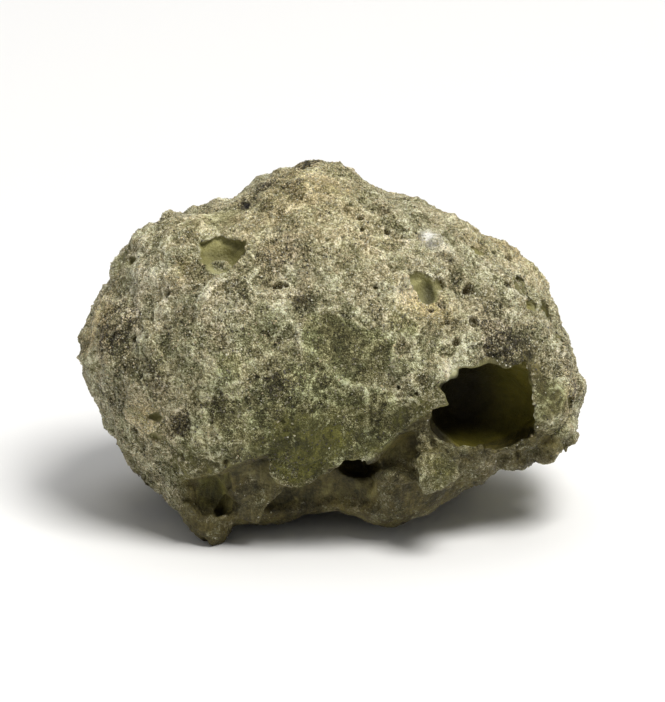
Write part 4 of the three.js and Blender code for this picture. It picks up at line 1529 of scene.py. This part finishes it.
class NodeBoard:
    """Lays out one material's nodes. Pitches are in millimetres, on Object coordinates."""

    def __init__(self, name: str) -> None:
        """Start an empty material.

        Args:
            name: The material's name.
        """
        self.material = bpy.data.materials.new(name)
        self.material.use_nodes = True
        self.tree = self.material.node_tree
        self.tree.nodes.clear()
        self.place = Wire(self, self.node("ShaderNodeTexCoord").outputs["Object"])

    def node(self, kind: str, **settings: object) -> bpy.types.Node:
        """Add a node.

        Args:
            kind: Its type.
            settings: Some of its properties.

        Returns:
            The node.
        """
        node = self.tree.nodes.new(kind)
        for key, value in settings.items():
            setattr(node, key, value)
        return node

    def feed(self, socket: bpy.types.NodeSocket, value: Union[Value, Colour]) -> None:
        """Link a wire to a socket, or set the socket's own value.

        Args:
            socket: The socket.
            value: The wire, or a number, place or colour.
        """
        if isinstance(value, Wire):
            self.tree.links.new(value.socket, socket)
        elif isinstance(value, tuple) and socket.type == "RGBA":
            socket.default_value = (*value, 1)
        else:
            socket.default_value = value

    def math(self, operation: str, *values: Value, clamp: bool = False) -> Wire:
        """Work out a number from others.

        Args:
            operation: A Math node's operation.
            values: What it works on.
            clamp: Whether the number is kept between 0 and 1.

        Returns:
            The number.
        """
        node = self.node("ShaderNodeMath", operation=operation, use_clamp=clamp)
        for socket, value in zip(node.inputs, values):
            self.feed(socket, value)
        return Wire(self, node.outputs[0])

    def total(self, start: Optional[Wire], *parts: tuple[Wire, float]) -> Wire:
        """Add up numbers by weight.

        Args:
            start: What they are added to.
            parts: The numbers, each with its weight.

        Returns:
            The sum.
        """
        for part, weight in parts:
            start = start + part * weight
        return start

    def rise(self, value: Wire, start: float, end: float, low: float = 0.0, high: float = 1.0) -> Wire:
        """Rise smoothly as a number grows.

        Args:
            value: The number.
            start: Where the rise starts.
            end: Where it ends.
            low: What it starts from.
            high: What it ends at.

        Returns:
            The number on the rise.
        """
        node = self.node("ShaderNodeMapRange", interpolation_type="SMOOTHSTEP")
        for key, number in (("Value", value), ("From Min", start), ("From Max", end),
                            ("To Min", low), ("To Max", high)):
            self.feed(node.inputs[key], number)
        return Wire(self, node.outputs["Result"])

    def mix(self, share: Value, first: Colour, second: Colour, how: str = "MIX") -> Wire:
        """Mix two colours.

        Args:
            share: Share of the second one.
            first: The first colour.
            second: The second.
            how: A Mix node's way of blending.

        Returns:
            The mixed colour.
        """
        node = self.node("ShaderNodeMix", data_type="RGBA", blend_type=how)
        node.clamp_factor = True
        for index, value in ((0, share), (6, first), (7, second)):
            self.feed(node.inputs[index], value)
        return Wire(self, node.outputs[2])

    def grey(self, value: Wire) -> Wire:
        """The grey colour of a number.

        Args:
            value: The number.

        Returns:
            The colour.
        """
        node = self.node("ShaderNodeCombineColor")
        for socket in node.inputs:
            self.feed(socket, value)
        return Wire(self, node.outputs[0])

    def tinted(self, colour: Colour, share: Value, cast: Colour) -> Wire:
        """A colour multiplied by another, as far as a share says."""
        return self.mix(share, colour, cast, "MULTIPLY")

    def ramp(self, value: Wire, stops: Sequence[tuple[float, Vec3]]) -> Wire:
        """Pick a colour by a number along a row of colours.

        Args:
            value: The number.
            stops: The numbers where the colours stand, and the colours.

        Returns:
            The colour.
        """
        node = self.node("ShaderNodeValToRGB")
        row = node.color_ramp.elements
        while len(row) < len(stops):
            row.new(0.5)
        for element, (position, colour) in zip(row, stops):
            element.position, element.color = position, (*colour, 1)
        self.feed(node.inputs[0], value)
        return Wire(self, node.outputs[0])

    def number(self, key: str) -> Wire:
        """One of the mesh's named numbers."""
        return Wire(self, self.node("ShaderNodeAttribute", attribute_name=key).outputs["Fac"])

    def noise(self, pitch: float, detail: float = 2.0, roughness: float = 0.5,
              distortion: float = 0.0, drawn_out: float = 1.0) -> Wire:
        """Lay out noise.

        Args:
            pitch: Distance between its broadest waves.
            detail: How many finer octaves it has.
            roughness: Height of each octave as a share of the one before.
            distortion: How much it is swirled.
            drawn_out: How many times longer its waves are upright.

        Returns:
            The noise, from 0 to 1.
        """
        node = self.node("ShaderNodeTexNoise")
        place = self.place
        if drawn_out != 1.0:
            squeeze = self.node("ShaderNodeVectorMath", operation="MULTIPLY")
            self.feed(squeeze.inputs[0], self.place)
            self.feed(squeeze.inputs[1], (1, 1, 1 / drawn_out))
            place = Wire(self, squeeze.outputs[0])
        self.feed(node.inputs["Vector"], place)
        for key, value in (("Scale", 1000 / pitch), ("Detail", detail), ("Roughness", roughness),
                           ("Distortion", distortion)):
            self.feed(node.inputs[key], value)
        return Wire(self, node.outputs["Fac"])

    def threads(self, pitch: float, detail: float, roughness: float, swirl: float, width: float) -> Wire:
        """Lay out threads, where noise is near its middle.

        Args:
            pitch: Distance between the noise's broadest waves.
            detail: How many finer octaves it has.
            roughness: Height of each octave as a share of the one before.
            swirl: How much it is swirled.
            width: Half the threads' width, as a difference in the noise.

        Returns:
            The threads, 1 along their middles and 0 between them.
        """
        return self.rise(abs(self.noise(pitch, detail, roughness, swirl) - 0.5), width, 0.0)

    def grains(self, pitch: float) -> tuple[Wire, Wire]:
        """Scatter cells.

        Args:
            pitch: Distance between their seeds.

        Returns:
            The distance from a cell's seed, and its own random number.
        """
        node = self.node("ShaderNodeTexVoronoi", feature="F1")
        self.feed(node.inputs["Vector"], self.place)
        self.feed(node.inputs["Scale"], 1000 / pitch)
        split = self.node("ShaderNodeSeparateColor")
        self.feed(split.inputs[0], Wire(self, node.outputs["Color"]))
        return Wire(self, node.outputs["Distance"]), Wire(self, split.outputs[0])

    def finish(self, colour: Colour, roughness: Value, height: Optional[Wire] = None,
               **constants: object) -> bpy.types.Material:
        """End in a Principled shader.

        Args:
            colour: Base colour.
            roughness: Roughness.
            height: Height of the fine relief in millimetres, if there is any.
            constants: Values of other sockets, the spaces in their names as underscores.

        Returns:
            The material.
        """
        shader = self.node("ShaderNodeBsdfPrincipled")
        self.feed(shader.inputs["Base Color"], colour)
        self.feed(shader.inputs["Roughness"], roughness)
        for key, value in constants.items():
            shader.inputs[key.replace("_", " ")].default_value = value
        if height is not None:
            bump = self.node("ShaderNodeBump")
            bump.inputs["Strength"].default_value = 1.0
            bump.inputs["Distance"].default_value = 0.001
            self.feed(bump.inputs["Height"], height)
            self.feed(shader.inputs["Normal"], Wire(self, bump.outputs["Normal"]))
        output = self.node("ShaderNodeOutputMaterial")
        self.feed(output.inputs["Surface"], Wire(self, shader.outputs["BSDF"]))
        return self.material


class Patterns:
    """The noises that the glass takes its colours and fine relief from, laid out once.

    Attributes:
        cell: Distance from the middle of a sand grain.
        lot: A grain's random number.
        big_lot: A large grain's.
        tiny_lot: A speck's.
        fractal: Noise whose octaves all count alike.
        broad: Broad noise.
        fine: Noise finer than a grain.
        vein: Pale veins.
        frost: Finer ones.
        lace: The finest.
        mottle: Blotches of the glass, about 1.
        fibre: Upright streaks in it, about 1.
        speck: Blotches, streaks and bright specks together, as a grey colour.
    """

    def __init__(self, board: NodeBoard) -> None:
        """Lay the noises out.

        Args:
            board: The material's nodes.
        """
        self.cell, self.lot = board.grains(0.20)
        _, self.big_lot = board.grains(0.45)
        _, self.tiny_lot = board.grains(0.11)
        self.fractal = board.rise(board.noise(2.6, 6.0, 0.86), 0.32, 0.68)
        self.broad = board.rise(board.noise(7.0, 3.0, 0.5), 0.3, 0.7)
        self.fine = board.noise(0.16, 2.0, 0.7)
        self.vein = board.threads(1.5, 3.0, 0.6, 0.6, 0.03)
        self.frost = board.threads(0.7, 2.0, 0.6, 2.0, 0.05)
        self.lace = board.threads(0.3, 1.0, 0.5, 1.5, 0.07)
        self.mottle = board.rise(board.noise(2.4, 6.0, 0.75, 0.5), 0.3, 0.7, 0.25, 1.9)
        self.fibre = board.rise(board.noise(0.5, 3.0, 0.7, 0.4, 4.0), 0.35, 0.65, 0.7, 1.35)
        grit = board.rise(self.tiny_lot, 0.6, 1.0, 0.92, 1.4)
        self.speck = board.grey(self.mottle * self.fibre * grit)


@dataclass(frozen=True)
class CrustedGlass:
    """Green glass under a frosted, sandy skin, and bare in its breaks and bubbles.

    The skin's colour runs along `crust` by one number: fractal noise whose octaves all count alike, the
    random numbers of sand-grain cells, the plates, the tints noted on the mesh, and how far each point stands
    out, as painted light on raised points and painted shade in hollows. Colours are linear.

    Attributes:
        crust: The number where each colour of the skin stands, from gaps to the palest grains, whose colour
            also paints in glints.
        green_cast: What the skin's colour is multiplied by where the glass is green.
        tan_cast: The same where it is tan.
        soot_cast: The same where it is dirty.
        cool_cast: The same in every other spot a few grains wide.
        warm_cast: The same in the spots between.
        moss: Thick green glass: its own olive green, with a painted glow of light coming through it.
        bare_glass_and_shade: Broken or smooth glass under the lip and on the underside, darker partly as
            painted shade.
        pale_glass: Frosted glass inside a bubble.
        chalk: An odd white grain, too large for the rest.
        char: A burnt speck.
        hole_wall: Inside of the burst bubbles and pinholes of the skin: their own brown, darker as painted
            shade.
        shallow_wall: Lining of bubbles near the outside, painted lighter than deeper in, as light that comes
            through the glass.
        deep_wall: Lining far inside, darker as painted shade.
        lit_wall: Painted light: the lining where light comes through the thin side of the great bubble and
            falls on its floor.
        dirty_wall: What the lining is multiplied by where it is dirty.
    """

    crust: tuple[tuple[float, Vec3], ...] = (
        (0.00, (0.022, 0.019, 0.007)),
        (0.25, (0.095, 0.086, 0.038)),
        (0.50, (0.250, 0.228, 0.125)),
        (0.72, (0.460, 0.425, 0.265)),
        # The palest grains, with painted glints.
        (1.00, (0.860, 0.820, 0.640)),
    )
    green_cast: Vec3 = (0.78, 0.82, 0.67)
    tan_cast: Vec3 = (1.10, 0.98, 0.76)
    soot_cast: Vec3 = (0.86, 0.82, 0.82)
    cool_cast: Vec3 = (0.96, 1.00, 0.95)
    warm_cast: Vec3 = (1.03, 0.99, 0.95)
    moss: Vec3 = (0.096, 0.092, 0.022)
    bare_glass_and_shade: Vec3 = (0.078, 0.064, 0.021)
    pale_glass: Vec3 = (0.400, 0.390, 0.220)
    chalk: Vec3 = (0.86, 0.84, 0.76)
    char: Vec3 = (0.022, 0.019, 0.015)
    hole_wall: Vec3 = (0.105, 0.082, 0.030)
    shallow_wall: Vec3 = (0.255, 0.236, 0.090)
    deep_wall: Vec3 = (0.025, 0.020, 0.004)
    lit_wall: Vec3 = (0.215, 0.186, 0.030)
    dirty_wall: Vec3 = (0.45, 0.42, 0.40)

    def paleness(self, board: NodeBoard, seen: Patterns) -> Wire:
        """How pale the skin is: all its patterns and the mesh's numbers, added up by weight.

        Args:
            board: The material's nodes.
            seen: The noises.

        Returns:
            The number that picks the skin's colour.
        """
        number = board.number
        even = 1.0 - number("sheet") * 0.65
        calm = 1.0 - number("glaze") * 0.6
        grainy = board.total(
            (seen.fractal - 0.5) * even * 0.42,
            (seen.lot, 0.10), (seen.tiny_lot, 0.15), (seen.big_lot, 0.08),
            (seen.vein, 0.14), (seen.frost, 0.32), (seen.lace, 0.36),
        )
        return board.total(
            (grainy - 0.32) * calm,
            (seen.broad, 0.11), (number("plate"), 0.12),
            (board.rise(number("tone"), 0.30, 0.40, -0.13, 0.045) * even, 1.0), (number("lace"), 0.28),
            # Paler on raised points and darker in hollows: painted light and shade.
            (number("relief") * even, 0.26), (number("sheet"), -0.03),
            # Paler along seams; along the lip this is a painted highlight.
            (number("pale"), 0.34), (number("tan"), 0.10), (number("seam"), 0.40),
            # Darker on bare glass and in holes, partly as painted shade.
            (number("bare"), -0.10), (number("hole"), -0.10),
            (number("green") * (seen.lace - 2.0), 0.06),
            (number("moss") * (seen.lace - 1.2), 0.22),
            (number("soot") * (seen.tiny_lot - 1.05), 0.38),
        ) + 0.33

    def skin(self, board: NodeBoard, seen: Patterns, bareness: Wire) -> Wire:
        """Colour of the skin: by its paleness and tints, then mossy and bare glass, holes and odd grains.

        Args:
            board: The material's nodes.
            seen: The noises.
            bareness: Where the glass is bare.

        Returns:
            The colour.
        """
        number = board.number
        colour = board.ramp(self.paleness(board, seen), self.crust)
        spots = board.rise(board.noise(1.7, 3.0, 0.65), 0.38, 0.62)
        colour = board.tinted(colour, 1.0, board.mix(spots, self.cool_cast, self.warm_cast))
        for key, cast in (("green", self.green_cast), ("tan", self.tan_cast), ("soot", self.soot_cast)):
            colour = board.tinted(colour, number(key), cast)
        mossy = board.math("MULTIPLY", number("moss"), board.rise(seen.fractal, 0.95, 0.35), clamp=True)
        # Mossy glass: its own green with a painted glow.
        colour = board.mix(mossy, colour, board.tinted(self.moss, 1.0, seen.speck))
        # Bare glass: its own darker colour, and painted shade under the lip and on the underside.
        colour = board.mix(bareness, colour, board.tinted(self.bare_glass_and_shade, 1.0, seen.speck))
        # Holes turn towards their brown lining, partly as painted shade.
        colour = board.mix(number("hole") * 0.6, colour, self.hole_wall)
        colour = board.mix(number("chalk"), colour, self.chalk)
        return board.mix(number("char"), colour, self.char)

    def lining(self, board: NodeBoard, seen: Patterns) -> Wire:
        """Colour of the bubbles' walls: darker with depth as painted shade, painted green light where lit
        through, and streaked and darker under the lip, partly as painted shade.

        Args:
            board: The material's nodes.
            seen: The noises.

        Returns:
            The colour.
        """
        number = board.number
        # Painted shade deeper in the bubbles, and painted light where they are marked lit.
        deep = board.mix(number("lit"), self.deep_wall, self.lit_wall)
        colour = board.mix(board.rise(number("deep"), 0.16, 0.5), self.shallow_wall, deep)
        # Under the lip the walls turn to bare glass, darker partly as painted shade from the lip.
        colour = board.mix(number("under") * 0.85, colour, self.bare_glass_and_shade)
        colour = board.mix(number("moss") * 0.8, colour, self.moss)
        colour = board.tinted(colour, number("soot"), self.dirty_wall)
        colour = board.mix(number("pale") * 0.7, colour, self.pale_glass)
        faint = board.grey(board.rise(seen.mottle, 0.25, 1.9, 0.8, 1.2))
        streaks = board.mix(number("under"), faint, board.grey(seen.mottle * seen.fibre))
        return board.tinted(colour, 1.0, streaks)

    def material(self) -> bpy.types.Material:
        """Lay out the finish: frosted where it is crusted, with a few glinting grains, else half glossy.

        Returns:
            The material.
        """
        board = NodeBoard("crusted_glass")
        seen = Patterns(board)
        number, rise = board.number, board.rise
        crack = rise(seen.fractal, 0.95, 0.5, 0.45, 1.0)
        bareness = board.math("MULTIPLY", number("bare"), crack, clamp=True)
        colour = board.mix(number("skin"), self.lining(board, seen), self.skin(board, seen, bareness))
        crusted = number("skin") * (1.0 - bareness * 0.75)
        glint = rise(seen.lot, 0.88, 0.93, 0.82, 0.22)
        roughness = glint * crusted + (1.0 - crusted) * 0.46
        calm = 1.0 - number("glaze") * 0.6
        grain = ((0.7 - seen.cell) * 0.15 + seen.fine * 0.09) * rise(crusted * calm, 0.0, 1.0, 0.3, 1.0)
        return board.finish(
            colour, roughness, grain + seen.fractal * 0.10,
            IOR=1.5, Specular_IOR_Level=0.3,
            Subsurface_Weight=0.1, Subsurface_Radius=(0.7, 0.75, 0.35), Subsurface_Scale=0.0005,
        )


@dataclass(frozen=True)
class GrainFinish:
    """One kind of sand grain, each grain a shade between two linear colours."""

    name: str
    dull: Vec3
    bright: Vec3
    roughness: float
    glow: float = 0.0

    def material(self) -> bpy.types.Material:
        """Lay out the finish.

        Returns:
            The material.
        """
        board = NodeBoard(self.name)
        colour = board.mix(board.number("shade"), self.dull, self.bright)
        return board.finish(
            colour, self.roughness, None,
            IOR=1.5, Subsurface_Weight=self.glow, Subsurface_Radius=(0.3, 0.3, 0.25), Subsurface_Scale=0.001,
        )


# ----------------------------------------
# The studio
# ----------------------------------------


@dataclass
class Studio:
    """A plain pale floor that sweeps up behind, soft lights, and the camera.

    Attributes:
        stance: How the lump stands.
        camera_height: Angle that the camera looks down at, in degrees.
        camera_distance: Its distance from the lump's middle, in metres.
        lens: Its focal length in millimetres.
        floor_reach: How far the floor goes to each side, in metres.
        arc_radius: Radius of the floor's sweep up to the wall, in metres.
    """

    stance: Stance
    camera_height: float = 20.0
    camera_distance: float = 1.08
    lens: float = 705.0
    floor_reach: float = 1.6
    arc_radius: float = 0.5

    def floor(self) -> bpy.types.Object:
        """A floor that curves up into a back wall: a profile of a flat, an arc and a wall, drawn across.

        Returns:
            The floor.
        """
        arc = np.linspace(0, math.pi / 2, 24)
        foot, radius = self.floor_reach - 0.1, self.arc_radius
        y = np.concatenate([[-self.floor_reach], foot + radius * np.sin(arc), [foot + radius]])
        z = np.concatenate([[0], radius * (1 - np.cos(arc)), [self.floor_reach]])
        x = np.array([-self.floor_reach, self.floor_reach])
        grid = np.stack(np.broadcast_arrays(x[:, None], y, z), axis=-1)
        rows, columns = grid.shape[:2]
        index = np.arange(rows * columns).reshape(rows, columns)
        corners = (index[:-1, :-1], index[1:, :-1], index[1:, 1:], index[:-1, 1:])
        floor = Surface(grid.reshape(-1, 3), np.stack(corners, axis=-1).reshape(-1, 4)).to_object("floor")
        floor.data.materials.append(NodeBoard("white_paper").finish((0.86, 0.86, 0.86), 0.9))
        floor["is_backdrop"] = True
        return floor

    def light(self, name: str, position: Vec3, size: float, power: float, colour: Vec3 = (1, 1, 1)) -> None:
        """A square soft light that looks at the lump.

        Args:
            name: Its name.
            position: Where it stands, in metres.
            size: Length of its sides, in metres.
            power: Its power in watts.
            colour: Its linear colour.
        """
        data = bpy.data.lights.new(name, "AREA")
        data.shape, data.size, data.energy, data.color = "SQUARE", size, power, colour
        lamp = bpy.data.objects.new(name, data)
        lamp.location = position
        lamp.rotation_euler = (Vector((0, 0, 0.012)) - Vector(position)).to_track_quat("-Z", "Y").to_euler()
        bpy.context.scene.collection.objects.link(lamp)

    def camera(self) -> None:
        """A long lens looking down at the lump's middle from the front."""
        data = bpy.data.cameras.new("camera")
        data.lens, data.clip_start, data.clip_end = self.lens, 0.01, 10
        camera = bpy.data.objects.new("camera", data)
        aim = self.stance.put((0.08, 0, 0.08))
        tilt = math.radians(self.camera_height)
        camera.location = aim + self.camera_distance * Vector((0, -math.cos(tilt), math.sin(tilt)))
        camera.rotation_euler = (math.pi / 2 - tilt, 0, 0)
        bpy.context.scene.collection.objects.link(camera)
        bpy.context.scene.camera = camera

    def build(self) -> None:
        """Set up the floor, the lights, the pale surroundings and the camera."""
        self.camera()
        self.floor()
        self.light("key", (0.20, -0.20, 0.60), 0.28, 4.4, (1.0, 0.985, 0.95))
        self.light("left_fill", (-0.55, -0.45, 0.35), 0.5, 0.25)
        self.light("top", (0.0, 0.25, 0.7), 0.6, 1.5)
        world = bpy.data.worlds.new("surroundings")
        world.use_nodes = True
        world.node_tree.nodes["Background"].inputs["Color"].default_value = (1, 1, 1, 1)
        world.node_tree.nodes["Background"].inputs["Strength"].default_value = 0.22
        bpy.context.scene.world = world
        bpy.context.scene.view_settings.view_transform = "Standard"


# ----------------------------------------
# Everything together
# ----------------------------------------


def corners(box: Sequence[Vector]) -> list[list[float]]:
    """A box's corners as plain lists."""
    return [[float(number) for number in corner] for corner in box]


def main() -> None:
    """Build the studio, the lump and its grains, and report each piece."""
    logging.basicConfig(level=logging.INFO, format="%(name)s: %(message)s")
    solid_box = corners(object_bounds())
    stone = GlassLump()
    Studio(stone.stance).build()
    lump = stone.build()
    lump.data.materials.clear()
    lump.data.materials.append(CrustedGlass().material())
    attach(lump, "root")
    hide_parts("trinitite")
    finishes = {
        "quartz_grains": GrainFinish("quartz", (0.30, 0.285, 0.19), (0.72, 0.69, 0.54), 0.3, 0.3),
        "crust_grains": GrainFinish("frosted_glass", (0.16, 0.15, 0.085), (0.44, 0.41, 0.27), 0.6, 0.2),
        "feldspar_grains": GrainFinish("feldspar", (0.24, 0.20, 0.11), (0.56, 0.46, 0.27), 0.7, 0.15),
        "dark_grains": GrainFinish("dark_mineral", (0.016, 0.013, 0.008), (0.08, 0.066, 0.04), 0.5),
    }
    pieces = {"glass_lump": lump, **SandGrains(lump).build()}
    for name, finish in finishes.items():
        pieces[name].data.materials.append(finish.material())
        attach(pieces[name], "root")
    for name, piece in pieces.items():
        LOG.info("%s: %d faces", name, len(piece.data.polygons))
    {"solid": solid_box, "visual": corners(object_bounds())}


if __name__ == "__main__":
    main()
